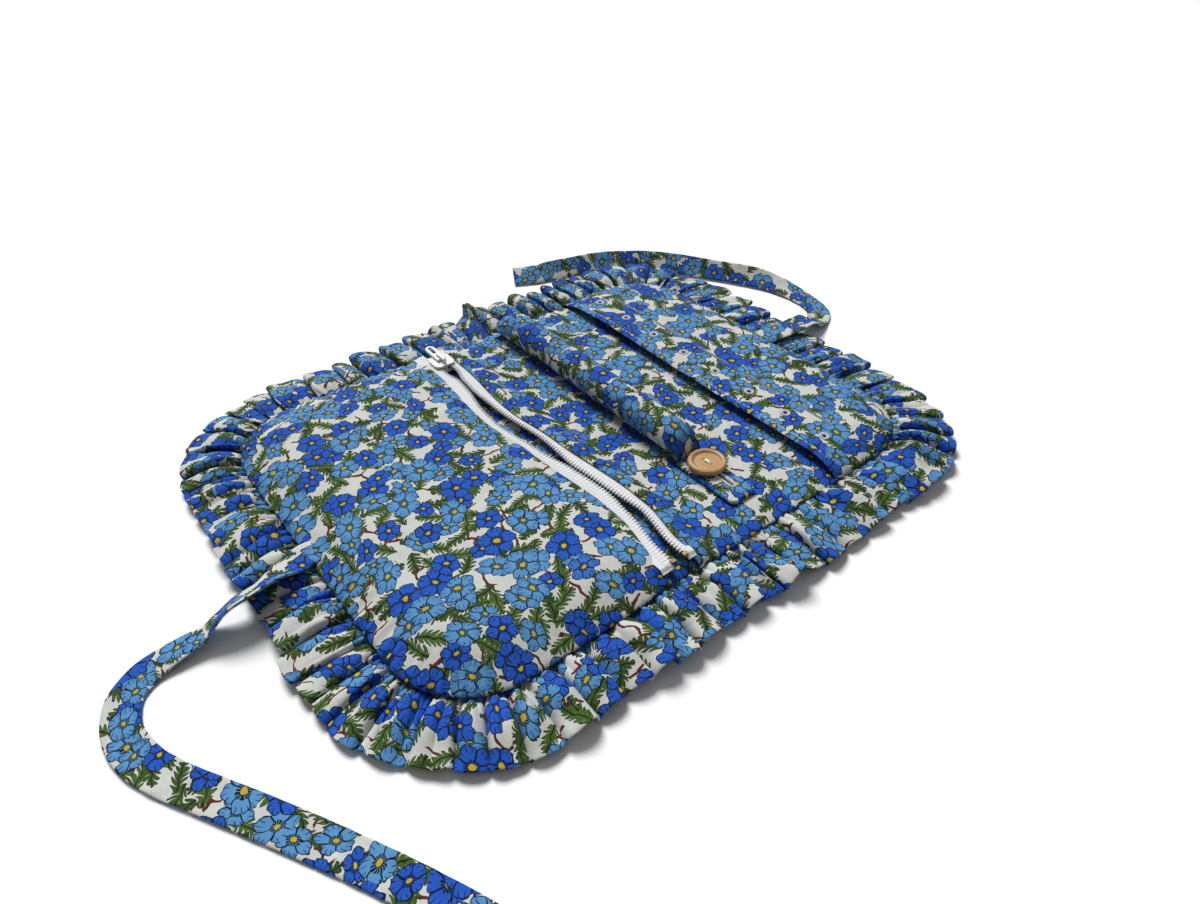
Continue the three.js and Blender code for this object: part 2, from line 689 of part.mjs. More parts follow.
spread(eyeletCount, eyeletSpacing).forEach((y, i) => {
  const inner = eyeletInnerRadius;
  const outer = eyeletOuterRadius;
  const profile = [
    [inner, 0.3],
    [inner + 0.5, 0],
    [outer, 0.4],
    [outer, eyeletHeight - 0.4],
    [inner + 0.5, eyeletHeight],
    [inner, eyeletHeight - 0.3],
    [inner, 0.3],
  ].map(([r, z]) => new THREE.Vector2(r, z));
  const x = flapEdge + eyeletInset;
  const middle = flapEntry(x, y).bottom[2] + flapThickness / 2;
  const ring = new THREE.LatheGeometry(profile, 12).rotateX(Math.PI / 2);
  addMesh(`eyelet_${i + 1}`, ring.translate(x, y, middle - eyeletHeight / 2), thread);
});

// Ties: a flat ribbon from the middle of each short side, over the frill and down to the surface. A route's points
// are measured outward from the seam and along Y.
const tieHigh = liningTop + clearance + tieThickness / 2;
const tieLow = tieThickness / 2;
const tieDropStart = halfLength + frillDepth + tieDropMargin;
const tieDropEnd = tieDropStart + tieDropLength;
const tieNearRoute = [
  [-2.4, 0],
  [3, 0],
  [13, -4],
  [24, -9],
  [34, -11],
  [47, -11],
  [62, -11],
  [76, -13],
  [87, -21],
  [92, -36],
  [90, -52],
  [84, -66],
  [77, -78],
  [64, -100],
  [52, -121],
  [40, -143],
  [30, -163],
  [23, -178],
  [18, -194],
  [15, -213],
];
const tieFarRoute = [
  [-2.4, 0],
  [3, 0],
  [11, -1],
  [22, -2],
  [34, -2],
  [47, -1],
  [55, 2],
  [63, 8],
  [68, 19],
  [69, 35],
  [65, 54],
  [55, 74],
  [41, 98],
  [31, 115],
  [19, 131],
  [4, 144],
  [-12, 153],
  [-28, 158],
  [-44, 163],
  [-58, 168],
  [-71, 175],
];

const tieSteps = 34;

// The middle of the ribbon's height: on the frill beside the seam, on the surface beyond it
function tieHeight(x, y) {
  const overFrill = Math.abs(y) < halfWidth / 2;
  return overFrill ? THREE.MathUtils.lerp(tieHigh, tieLow, smoothstep(tieDropStart, tieDropEnd, Math.abs(x))) : tieLow;
}

function tieGeometry(end, route) {
  const half = tieWidth / 2;
  const edge = 0.8;
  const thick = tieThickness / 2;
  const section = new THREE.Shape();
  section.setFromPoints([
    new THREE.Vector2(-thick, half - edge),
    new THREE.Vector2(-thick / 2, half),
    new THREE.Vector2(thick / 2, half),
    new THREE.Vector2(thick, half - edge),
    new THREE.Vector2(thick, edge - half),
    new THREE.Vector2(thick / 2, -half),
    new THREE.Vector2(-thick / 2, -half),
    new THREE.Vector2(-thick, edge - half),
  ]);
  const extrudePath = new THREE.CatmullRomCurve3(
    route.map(([out, y]) => new THREE.Vector3(end * (halfLength + out), y, 0)),
  );
  const geometry = new THREE.ExtrudeGeometry(section, { steps: tieSteps, extrudePath, bevelEnabled: false });
  const place = geometry.attributes.position;
  for (let i = 0; i < place.count; i += 1) {
    place.setZ(i, place.getZ(i) + tieHeight(place.getX(i), place.getY(i)));
  }
  return geometry;
}
addMesh('tie_near', tieGeometry(-1, tieNearRoute), cloth);
addMesh('tie_far', tieGeometry(1, tieFarRoute), cloth);

export default pouch;
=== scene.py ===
# Looks of a padded jewellery pouch that lies open: printed cotton halves with a gathered frill, a zip pocket,
# a stuffed ring bar with a buttoned tab, an earring flap and a tie at each end. Lengths are in metres and
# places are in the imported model's frame.

import math

import bpy
import numpy as np
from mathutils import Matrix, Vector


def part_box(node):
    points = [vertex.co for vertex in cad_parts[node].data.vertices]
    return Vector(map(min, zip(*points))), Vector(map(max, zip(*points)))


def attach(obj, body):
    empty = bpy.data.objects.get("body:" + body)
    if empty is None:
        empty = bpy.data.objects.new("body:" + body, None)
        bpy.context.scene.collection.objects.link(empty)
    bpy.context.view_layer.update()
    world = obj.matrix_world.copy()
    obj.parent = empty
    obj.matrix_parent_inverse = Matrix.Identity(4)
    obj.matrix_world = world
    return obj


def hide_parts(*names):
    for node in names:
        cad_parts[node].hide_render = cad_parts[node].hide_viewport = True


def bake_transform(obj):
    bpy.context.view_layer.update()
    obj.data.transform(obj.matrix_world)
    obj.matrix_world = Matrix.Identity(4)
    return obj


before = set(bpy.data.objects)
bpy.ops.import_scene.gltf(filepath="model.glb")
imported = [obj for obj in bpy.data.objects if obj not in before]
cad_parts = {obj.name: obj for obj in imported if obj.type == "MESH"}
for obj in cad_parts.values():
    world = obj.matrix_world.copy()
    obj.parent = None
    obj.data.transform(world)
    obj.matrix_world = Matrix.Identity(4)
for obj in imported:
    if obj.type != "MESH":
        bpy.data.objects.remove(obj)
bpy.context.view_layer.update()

MM = 0.001
TAU = 2 * math.pi

# Camera, light and picture
CAMERA_PLACE = (-0.2144, -0.2865, 0.2776)
CAMERA_TURN = (math.pi / 2 - 0.6738, 0.0, -0.6794)
CAMERA_LENS = 24.954
CAMERA_SENSOR = 36.0
SKY_STRENGTH = 0.27
SUN_STRENGTH = 3.0
SUN_SPREAD = 28
SUN_AZIMUTH = 76
SUN_ELEVATION = 54
PICTURE_EXPOSURE = 0.13
PICTURE_GAMMA = 0.84
FLOOR_HALF = 8.0
FLOOR_HEIGHT = -0.15 * MM

# Seam and stuffing
CORNER_RADIUS = 40 * MM
SEAM_HEIGHT = 4.2 * MM
SEAM_HALF_GAP = 0.35 * MM
SEAM_TOP = SEAM_HEIGHT + SEAM_HALF_GAP
SEAM_BOTTOM = SEAM_HEIGHT - SEAM_HALF_GAP
UNDERSIDE = 0.3 * MM
PUFF_ROUNDNESS = 2.2
PUFF_STEEPNESS = 0.55
POCKET_PUFF = 26 * MM
FAR_PUFF = 18 * MM
FLAP_PUFF = 24 * MM
UNDER_PUFF = 14 * MM
SWELL_AT = 1.6 * MM
POCKET_SWELL = 3.0 * MM
FLAP_SWELL = 1.5 * MM
PAD_SWELL = 1.1 * MM
PAD_TOP = 8.15 * MM
CREST_AT_MIDDLE = 8.9 * MM
THINNEST = 0.1 * MM
CLOTH_EDGE = 0.25 * MM
EDGE_HALF = 0.15

PUCKER_PITCH = 6.4 * MM
PUCKER_HEIGHT = 0.6 * MM
PUCKER_REACH = 10 * MM
PUCKER_START = 1.2 * MM
PUCKER_OUT = 0.85

# Frill, and the places where its folds differ
FRILL_DEPTH = 32 * MM
FRILL_FOLD_PITCH = 13.2 * MM
FRILL_STEP = 0.42 * MM
FRILL_CLOTH = 0.9 * MM
FRILL_ROOT = -0.8 * MM
FRILL_ROOT_HEIGHT = 3.6 * MM
FRILL_LOFT = 0.5 * MM
FRILL_FULLNESS = 1.7
FRILL_LOWEST = 0.95 * MM
FRILL_SHORTEST = 2.6 * MM
FRILL_TALLEST = 4.9 * MM
FRILL_UNDER_TIE = 7.6 * MM
FRILL_CORNER = 1.3 * MM
FRILL_SCALLOP = 1.4 * MM
GATHER_PITCH = FRILL_FOLD_PITCH / 3.4
GATHER_HEIGHT = 1.15 * MM
PLEAT_PITCH = 7.4 * MM
PLEAT_HEIGHT = 1.35 * MM
WRINKLE_PITCH = 7 * MM
WRINKLE_HEIGHT = 0.5 * MM
HEM_LIFT = 2.4 * MM
NEAR_SLANT = 12 * MM
NEAR_SLANT_Y = 27 * MM
NEAR_SLANT_REACH = 23 * MM
TILE_LEAN = 1.25
TILES_STEADIER = 3 / 7
TILES_FEWER = {-1: 2, 1: 5}
TILES_FLATTER = {-1: 0.32, 1: 0.54}
TUCK_Y = -45 * MM
TUCK_START = 134 * MM
TUCK_WIDTH = 6.5 * MM
TUCK_HEIGHT = 2.4 * MM
HORN_PLACE = 24 * MM
HORN_WIDTH = 3.4 * MM
HORN_HEIGHT = 12 * MM
HORN_LEAN = 4 * MM
MOUTH_BEFORE_SPINE = 10 * MM
MOUTH_WIDTH = 6.5 * MM
MOUTH_HEIGHT = 6.5 * MM
MOUTH_LEAN = 4 * MM

# Zip
COIL_PITCH = 1.9 * MM
COIL_WIRE = 0.5 * MM
ZIP_BOW = 2.1 * MM
ZIP_GAPE = 1.2 * MM
ZIP_SWAY_OUT = 3.6 * MM
ZIP_SWAY_IN = 4.6 * MM
TAPE_CLOTH = 0.5 * MM
TAPE_PLUMP = 0.55 * MM
TAPE_UNDER_COIL = 1.2 * MM
TAPE_RIB = 0.13 * MM

# Ties and threads
TIE_WIDTH = 15 * MM
TIE_THICKNESS = 1.6 * MM
THREAD = 0.3 * MM
THREAD_TWIST = 0.5 * MM


# Places taken from the frame
def box(node):
    low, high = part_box(node)
    return np.array(low), np.array(high)


HALF_LENGTH, HALF_WIDTH, _ = box("cover_far")[1]
STRAIGHT_X = HALF_LENGTH - CORNER_RADIUS
STRAIGHT_Y = HALF_WIDTH - CORNER_RADIUS
CORNER_MIDDLE = CORNER_RADIUS + FRILL_DEPTH / 2
CORNER_ARC = CORNER_MIDDLE * math.pi / 2
CORNER_END = STRAIGHT_X + CORNER_ARC
FRILL_LENGTH = 2 * (STRAIGHT_X + STRAIGHT_Y + CORNER_ARC)
PANEL_EDGE, _, PANEL_HIGH = box("pocket_panel")[1]
PANEL_CROWN = PANEL_HIGH + 0.2 * MM
ZIP_EDGE_HEIGHT = box("zip_hem")[1][2]
HEM_EDGE = box("zip_hem")[0][0]
HEM_WEB = box("zip_hem")[1][0]
FLAP_EDGE = box("earring_flap")[0][0]
FLAP_TOP = box("earring_flap")[1][2]


# Curves, bumps and random surfaces
def smoothstep(low, high, value):
    t = np.clip((value - low) / (high - low), 0, 1)
    return t * t * (3 - 2 * t)


def plateau(value, start, full, falling, finish):
    """1 from full to falling, 0 before start and after finish, and smooth between."""
    return smoothstep(start, full, value) * (1 - smoothstep(falling, finish, value))


def bell(value, place, width):
    """A smooth bump that is 1 at a place and nearly 0 two widths away from it."""
    return np.exp(-(((value - place) / width) ** 2))


def rounded(inside, radius):
    """The share of its full thickness that a rounded edge has at a distance inside it."""
    return np.sqrt(np.maximum(0, 1 - (1 - np.minimum(inside / radius, 1)) ** 2))


def cusps(turn, sharpness, level):
    """Even folds with sharp valleys, about as far above 0 as below it."""
    return 2 * np.abs(np.cos(turn / 2)) ** sharpness - level


def wander(along, pitch, seed):
    """A smooth random curve between -1 and 1 that turns about once in each pitch."""
    count = 997
    knots = np.random.default_rng(seed).uniform(-1, 1, count)
    t = np.asarray(along) / pitch
    i = np.floor(t).astype(int)
    f = smoothstep(0, 1, t - i)
    return knots[i % count] * (1 - f) + knots[(i + 1) % count] * f


def ripple(x, y, pitch, seed, waves=9):
    """A smooth random surface between about -1 and 1 whose bumps are about a pitch apart."""
    rng = np.random.default_rng(seed)
    total = np.zeros(np.broadcast(x, y).shape)
    for _ in range(waves):
        turn = rng.uniform(0, TAU)
        rate = TAU / (pitch * rng.uniform(0.75, 1.5))
        total += np.sin(rate * (x * math.cos(turn) + y * math.sin(turn)) + rng.uniform(0, TAU))
    return total * 1.4 / waves


def joined(*coordinates):
    """A grid of points from their coordinates, each a grid, a row, a column or a number."""
    return np.stack(np.broadcast_arrays(*coordinates), -1)


def lengths_along(path):
    return np.concatenate([[0], np.cumsum(np.linalg.norm(np.diff(path, axis=0), axis=1))])


# Meshes in the making: points, faces and each face corner's place on the flat cloth
class Part:
    def __init__(self, points, faces, cloth):
        self.points = np.asarray(points, float).reshape(-1, 3)
        self.faces = faces
        self.cloth = cloth


def merged(parts):
    points, faces, cloth = [], [], []
    start = 0
    for part in parts:
        points.append(part.points)
        faces += [tuple(start + i for i in face) for face in part.faces]
        cloth += part.cloth
        start += len(part.points)
    return Part(np.concatenate(points), faces, cloth)


def lattice(points, cloth, wrap=False):
    """A surface through a grid of points. With wrap, the last column joins the first."""
    rows, columns = points.shape[:2]
    across = columns if wrap else columns - 1
    i, j = (a.ravel() for a in np.mgrid[0 : rows - 1, 0:across])
    row, next_row = i * columns, (i + 1) * columns
    after = (j + 1) % columns
    faces = np.stack([row + j, row + after, next_row + after, next_row + j], 1)
    corners = np.stack([cloth[i, j], cloth[i, j + 1], cloth[i + 1, j + 1], cloth[i + 1, j]], 1)
    return Part(points, [tuple(f) for f in faces.tolist()], corners.tolist())


def outward(part):
    """The closed part with its faces turned outward."""
    tip = part.points
    volume = 0.0
    for face in part.faces:
        for k in range(1, len(face) - 1):
            volume += tip[face[0]].dot(np.cross(tip[face[k]], tip[face[k + 1]]))
    if volume < 0:
        part.faces = [face[::-1] for face in part.faces]
        part.cloth = [corners[::-1] for corners in part.cloth]
    return part


def closed_sheet(top, bottom, cloth, cloth_under=None):
    """A closed form between an upper and a lower grid of points."""
    cloth_under = cloth if cloth_under is None else cloth_under
    rows, columns = top.shape[:2]
    size = rows * columns
    upper = lattice(top, cloth)
    lower = lattice(bottom, cloth_under)
    faces = upper.faces + [tuple(size + k for k in face[::-1]) for face in lower.faces]
    corners = upper.cloth + [c[::-1] for c in lower.cloth]
    rim = [(0, j) for j in range(columns)] + [(i, columns - 1) for i in range(1, rows)]
    rim += [(rows - 1, j) for j in range(columns - 2, -1, -1)] + [(i, 0) for i in range(rows - 2, 0, -1)]
    for (a, b), (c, d) in zip(rim, rim[1:] + rim[:1]):
        p, q = a * columns + b, c * columns + d
        faces.append((q, p, p + size, q + size))
        corners.append([cloth[c, d], cloth[a, b], cloth_under[a, b], cloth_under[c, d]])
    return outward(Part(np.concatenate([top.reshape(-1, 3), bottom.reshape(-1, 3)]), faces, corners))


def rolled_sheet(middle, thickness, cloth):
    """A cloth about a grid of points, its thickness given for each row or each point."""
    normal = np.cross(np.gradient(middle, axis=1), np.gradient(middle, axis=0))
    normal /= np.linalg.norm(normal, axis=2, keepdims=True) + 1e-12
    half = thickness[..., None] / 2
    return closed_sheet(middle - normal * half, middle + normal * half, cloth)


def closed_tube(points, cloth):
    """A closed form from rings of points, with a flat face over each end."""
    part = lattice(points, cloth, wrap=True)
    rings, sides = points.shape[:2]
    last = (rings - 1) * sides
    part.faces += [tuple(range(sides))[::-1], tuple(last + k for k in range(sides))]
    part.cloth += [[cloth[0, 0]] * sides, [cloth[-1, 0]] * sides]
    return outward(part)


def frames_along(path, up):
    """The side and upward directions at each point of a path."""
    tangent = np.gradient(path, axis=0)
    tangent /= np.linalg.norm(tangent, axis=1, keepdims=True)
    side = np.cross(tangent, np.broadcast_to(up, path.shape))
    side /= np.linalg.norm(side, axis=1, keepdims=True)
    return side, np.cross(side, tangent)


def tube(path, radius, sides=6, up=(0, 0, 1)):
    """A round tube with domed ends along a path, its radius one number or one for each point."""
    path = np.asarray(path, float)
    side, over = frames_along(path, up)
    radius = np.broadcast_to(radius, len(path)).copy()
    radius[[0, -1]] *= 0.35
    turn = np.arange(sides + 1) * TAU / sides
    across, rise = np.cos(turn[:-1]), np.sin(turn[:-1])
    ring = side[:, None] * across[None, :, None] + over[:, None] * rise[None, :, None]
    cloth = joined((turn * radius.max())[None, :], lengths_along(path)[:, None])
    return closed_tube(path[:, None] + ring * radius[:, None, None], cloth)


def add_object(name, part, material, smooth_angle=50):
    mesh = bpy.data.meshes.new(name)
    mesh.from_pydata(part.points.tolist(), [], part.faces)
    layer = mesh.uv_layers.new(name="cloth")
    flat = np.array([corner for corners in part.cloth for corner in corners], np.float32)
    layer.data.foreach_set("uv", flat.ravel())
    mesh.shade_smooth()
    mesh.set_sharp_from_angle(angle=math.radians(smooth_angle))
    mesh.materials.append(material)
    obj = bpy.data.objects.new(name, mesh)
    bpy.context.scene.collection.objects.link(obj)
    return obj


# Node trees written as arithmetic
def connect(value, slot):
    """Feeds a node's input with a field, another node's output or a plain value."""
    if isinstance(value, Field):
        value = value.socket
    if isinstance(value, bpy.types.NodeSocket):
        slot.id_data.links.new(value, slot)
    else:
        slot.default_value = value


def fill(node, inputs):
    for name, value in inputs.items():
        connect(value, node.inputs[name])


def add_node(tree, kind, inputs, **settings):
    """A new node with the settings and the inputs given, inputs by their name or number."""
    node = tree.nodes.new("ShaderNode" + kind)
    for name, value in settings.items():
        setattr(node, name, value)
    fill(node, inputs)
    return node


def math_method(operation, reverse=False):
    """A method of Field that adds a math node."""

    def method(self, *others):
        values = (*others, self) if reverse else (self, *others)
        node = add_node(self.tree, "Math", dict(enumerate(values)), operation=operation)
        return Field(node.outputs[0])

    return method


class Field:
    """A number that varies over a surface, held by a node's output."""

    def __init__(self, socket):
        self.socket = socket
        self.tree = socket.id_data

    __add__ = __radd__ = math_method("ADD")
    __sub__ = math_method("SUBTRACT")
    __rsub__ = math_method("SUBTRACT", reverse=True)
    __mul__ = __rmul__ = math_method("MULTIPLY")
    __truediv__ = math_method("DIVIDE")
    __pow__ = math_method("POWER")
    __abs__ = math_method("ABSOLUTE")
    sin = math_method("SINE")
    cos = math_method("COSINE")
    arctan2 = math_method("ARCTAN2")
    least = math_method("MINIMUM")
    most = math_method("MAXIMUM")

    def ramp(self, low, high):
        """0 below low, 1 above high and smooth between them. High may be below low."""
        falling = high < low
        limits = {"Value": self, "From Min": min(low, high), "From Max": max(low, high)}
        limits |= {"To Min": 1.0 if falling else 0.0, "To Max": 0.0 if falling else 1.0}
        node = add_node(self.tree, "MapRange", limits, interpolation_type="SMOOTHSTEP")
        return Field(node.outputs["Result"])


def vector(x, y, z=0.0):
    return add_node(x.tree, "CombineXYZ", {0: x, 1: y, 2: z}).outputs[0]


def components(socket):
    return [Field(output) for output in add_node(socket.id_data, "SeparateXYZ", {0: socket}).outputs]


def mixed(factor, first, second):
    """The first colour where the factor is 0 and the second where it is 1."""
    colours = [(*colour, 1) if isinstance(colour, tuple) else colour for colour in (first, second)]
    inputs = {0: factor, 6: colours[0], 7: colours[1]}
    return add_node(factor.tree, "Mix", inputs, data_type="RGBA").outputs[2]


def noise(place, scale, detail=2.0, dimensions="3D"):
    inputs = {"Vector": place, "Scale": scale, "Detail": detail}
    return Field(add_node(place.id_data, "TexNoise", inputs, noise_dimensions=dimensions).outputs[0])


def bump(height, distance, strength, under=None):
    """A surface direction that follows a height, on top of the one under it."""
    inputs = {"Height": height, "Distance": distance, "Strength": strength}
    if under is not None:
        inputs["Normal"] = under
    return add_node(height.tree, "Bump", inputs).outputs[0]


def new_material(name, looks, *options):
    """A material whose shader has the inputs that a function of looks makes in its node tree."""
    material = bpy.data.materials.new(name)
    material.use_nodes = True
    fill(material.node_tree.nodes["Principled BSDF"], looks(material.node_tree, *options))
    return material


def object_place(tree):
    return add_node(tree, "TexCoord", {}).outputs["Object"]


def cloth_place(tree):
    """The place on the flat cloth in millimetres."""
    source = add_node(tree, "UVMap", {}, uv_map="cloth")
    x, y, _ = components(source.outputs[0])
    return x * (1 / MM), y * (1 / MM)


def shaded(colour, share):
    return tuple(share * part for part in colour)


# Printed cotton, in millimetres on the flat cloth; a pair holds where an edge in the print starts and ends
GROUND = (0.585, 0.595, 0.565)
ROYAL_BLUE = (0.022, 0.118, 0.52)
SKY_BLUE = (0.135, 0.335, 0.56)
PETAL_SHADE = (0.05, 0.19, 0.62)
PRINT_LINE = (0.006, 0.009, 0.018)
BLOSSOM_HEART = (0.56, 0.42, 0.05)
LEAF_GREEN = (0.060, 0.112, 0.024)
LEAF_LINE = (0.009, 0.017, 0.006)
STEM_BROWN = (0.17, 0.030, 0.018)
LEAF_REACH = 6.0
LEAF_REACH_MORE = 2.2
LEAFLET_LENGTH = 2.9
LEAFLET_RATE = 1.35
LEAFLET_SLANT = 0.8
LEAF_RIB = 0.16
LEAF_OUTLINE = (0.26, 0.54)
STEM_OUTSIDE = (0.62, 0.5)
STEM_OUTLINE = (0.34, 0.5)
STEM_SWAY = 1.1
STEM_STRETCH = 9.0
PETAL_OUTLINE = (0.32, 0.6)
PETAL_SEAM = (0.18, 0.46)
PETAL_VEIN = (0.07, 0.23)
PETAL_DENT = 0.27
PRINT_WAVER = 2.2
PRINT_WAVER_RATE = 0.22
WEAVE_PITCH = 0.42


def scattered(x, y, pitch, shift, randomness):
    """Places scattered about a pitch apart: the way from the nearest one to here, and its random numbers."""
    u, v = x / pitch + shift, y / pitch + shift * 0.7
    inputs = {"Scale": 1, "Randomness": randomness, "Vector": vector(u, v)}
    node = add_node(x.tree, "TexVoronoi", inputs, voronoi_dimensions="2D")
    cell_x, cell_y, _ = components(node.outputs["Position"])
    return (u - cell_x) * pitch, (v - cell_y) * pitch, components(node.outputs["Color"])


def turned(x, y, angle):
    c, s = angle.cos(), angle.sin()
    return x * c + y * s, y * c - x * s


def leaves(x, y, under, pitch, shift):
    """Ferny sprigs of slanting leaflets along a rib."""
    dx, dy, (a, b, _) = scattered(x, y, pitch, shift, 0.8)
    along, across = turned(dx, dy, a * TAU)
    across = abs(across + (along * 0.25).sin() * 0.8)
    reach = b * LEAF_REACH_MORE + LEAF_REACH
    taper = (1 - (along / reach) ** 2).most(0.0) ** 0.5
    leaflets = abs(((along - across * LEAFLET_SLANT) * LEAFLET_RATE).sin()) ** 0.7
    gap = taper * (leaflets * LEAFLET_LENGTH + 0.5) - across
    rib = (across - LEAF_RIB).least(gap)
    green = mixed(b.ramp(0.2, 0.8), LEAF_GREEN, shaded(LEAF_GREEN, 1.45))
    inked = mixed(gap.ramp(*LEAF_OUTLINE) * rib.ramp(0.0, 0.18), LEAF_LINE, green)
    return mixed(gap.ramp(-0.08, 0.08), under, inked)


def stems(x, y, under, pitch, shift):
    """Thin brown stems that wind between the motifs and stop here and there."""
    sway = (y * 0.35).sin() * STEM_SWAY
    inputs = {"Scale": 1, "Vector": vector((x + sway) / pitch + shift, y / pitch)}
    node = add_node(x.tree, "TexVoronoi", inputs, voronoi_dimensions="2D", feature="DISTANCE_TO_EDGE")
    away = Field(node.outputs["Distance"]) * pitch
    shown = noise(vector(x / STEM_STRETCH, y / STEM_STRETCH), 1.0, 0.0, "2D").ramp(0.46, 0.5)
    brown = mixed(away.ramp(*STEM_OUTLINE), STEM_BROWN, PRINT_LINE)
    return mixed(away.ramp(*STEM_OUTSIDE) * shown, under, brown)


def blossoms(x, y, under, pitch, shift, size):
    """Round five-petalled blossoms, some seen from the side, with veined petals and a yellow heart."""
    dx, dy, (a, b, c) = scattered(x, y, pitch, shift, 0.62)
    px, py = turned(dx, dy, a * TAU)
    py = py * (b * 0.55 + 1.0)
    py = py + (1.2 - px * px * 0.03) * 0.3
    reach = (px * px + py * py) ** 0.5
    angle = py.arctan2(px)
    petals = abs((angle * 2.5).cos())
    radius = (c * 0.35 + 0.82) * size
    share = reach / radius
    frilled = (angle * 13.0 + a * 20.0).sin() * 0.02
    inside = radius * (petals**0.6 * PETAL_DENT + (1 - PETAL_DENT) + frilled) - reach
    between = petals * reach * 0.4
    veins = abs((angle * 9.0 + reach * 0.25).sin()) * reach * 0.11
    line = inside.ramp(*PETAL_OUTLINE)
    line = line * between.ramp(*PETAL_SEAM).most(share.ramp(0.34, 0.28))
    line = line * veins.ramp(*PETAL_VEIN).most(share.ramp(0.7, 0.62))
    collar = share.ramp(0.20, 0.17)
    rays = abs((angle * 8.0).sin()).ramp(0.45, 0.6) * share.ramp(0.36, 0.33)
    stamens = (1 - rays.most(collar)).ramp(0.0, 1.0)
    blue = mixed((b + c).ramp(0.97, 0.99), ROYAL_BLUE, SKY_BLUE)
    petal = mixed(line * stamens, PRINT_LINE, mixed(share.ramp(0.3, 1.0) * 0.25, blue, PETAL_SHADE))
    petal = mixed(share.ramp(0.165, 0.14), petal, BLOSSOM_HEART)
    return mixed(inside.ramp(-0.06, 0.06), under, petal)


def printed_cotton(tree):
    x, y = cloth_place(tree)
    flat = vector(x, y)
    waver_x = (noise(flat, PRINT_WAVER_RATE, 1.0, "2D") - 0.5) * PRINT_WAVER
    waver_y = (noise(vector(y, x, 5.0), PRINT_WAVER_RATE, 1.0, "2D") - 0.5) * PRINT_WAVER
    px, py = x + waver_x, y + waver_y
    colour = mixed(noise(flat, 0.05, 2.0, "2D"), GROUND, shaded(GROUND, 1.1))
    colour = stems(px, py, colour, pitch=15.0, shift=3.1)
    colour = leaves(px, py, colour, pitch=13.5, shift=7.7)
    colour = leaves(px, py, colour, pitch=15.5, shift=41.3)
    colour = blossoms(px, py, colour, pitch=17.5, shift=11.9, size=7.6)
    colour = blossoms(px, py, colour, pitch=21.0, shift=29.4, size=8.2)
    weave = (x * TAU / WEAVE_PITCH).sin() * (y * TAU / WEAVE_PITCH).sin() * 0.5
    slub = noise(vector(x * 0.25, y * 3.0), 1.0, 3.0, "2D")
    crumple = noise(flat, 0.11, 3.0, "2D")
    # Weave, slubs and broad creases darken the cloth where their bumps are low and lighten it where they are
    # high: painted shade. The slubs also give the yarn a tone that differs at random.
    painted_shade_and_tone = weave * 0.10 + slub * 0.28 + crumple * 0.18 + 0.72
    soft = bump(crumple, 0.7 * MM, 0.35)
    return {
        "Base Color": add_node(tree, "HueSaturation", {"Color": colour, "Value": painted_shade_and_tone}).outputs[0],
        "Normal": bump(weave + slub * 0.8, 0.06 * MM, 0.5, soft),
        "Roughness": 0.82,
        "Specular IOR Level": 0.25,
        "Sheen Weight": 0.05,
        "Sheen Roughness": 0.5,
    }


def twisted_thread(tree, colour):
    place = object_place(tree)
    x, y, z = components(place)
    plies = ((x + y + z) * (TAU / THREAD_TWIST)).sin()
    fuzz = noise(place, 2600.0, 3.0)
    return {
        "Base Color": mixed(fuzz.ramp(0.3, 0.75), shaded(colour, 0.82), colour),
        "Normal": bump(plies * 0.5 + fuzz, 0.08 * MM, 0.6),
        "Roughness": 0.75,
        "Sheen Weight": 0.2,
    }


def zip_tape_weave(tree):
    x, y = cloth_place(tree)
    ribs = abs(((x + abs((y * 1.1).sin()) * 0.35) * 4.6).sin())
    weave = ribs * abs((y * 5.2).sin())
    fuzz = noise(vector(x, y), 3.0, 3.0, "2D")
    # Darker between the woven ribs, where the bump is low, and lighter on them: painted shade.
    colour = mixed(weave.ramp(0.0, 0.8), (0.66, 0.67, 0.68), (0.80, 0.80, 0.80))
    return {
        "Base Color": mixed(fuzz.ramp(0.35, 0.7) * 0.25, colour, (0.72, 0.72, 0.71)),
        "Normal": bump(weave + fuzz * 0.4, 0.12 * MM, 0.7),
        "Roughness": 0.7,
        "Sheen Weight": 0.15,
    }


def moulded_plastic(tree, colour, roughness):
    place = object_place(tree)
    cloud = noise(place, 180.0, 2.0)
    return {
        "Base Color": mixed(cloud.ramp(0.3, 0.7), shaded(colour, 0.93), colour),
        "Normal": bump(noise(place, 2400.0, 2.0), 0.02 * MM, 0.4),
        "Roughness": cloud * 0.1 + (roughness - 0.05),
        "Subsurface Weight": 0.05,
        "Subsurface Radius": (1 * MM, 1 * MM, 1 * MM),
    }


def aged_brass(tree):
    tarnish = noise(object_place(tree), 700.0, 4.0)
    return {
        "Base Color": mixed(tarnish.ramp(0.35, 0.7), (0.36, 0.25, 0.12), (0.16, 0.10, 0.05)),
        "Normal": bump(tarnish, 0.05 * MM, 0.4),
        "Roughness": tarnish * 0.3 + 0.25,
        "Metallic": 1.0,
    }


WOOD_LIGHT = (0.60, 0.395, 0.20)
WOOD_DARK = (0.40, 0.235, 0.10)
WOOD_PORE = (0.25, 0.11, 0.04)
WOOD_DRIFT = 3.2 * MM
WOOD_RING_PITCH = 1.9 * MM
LATHE_PITCH = 0.55 * MM


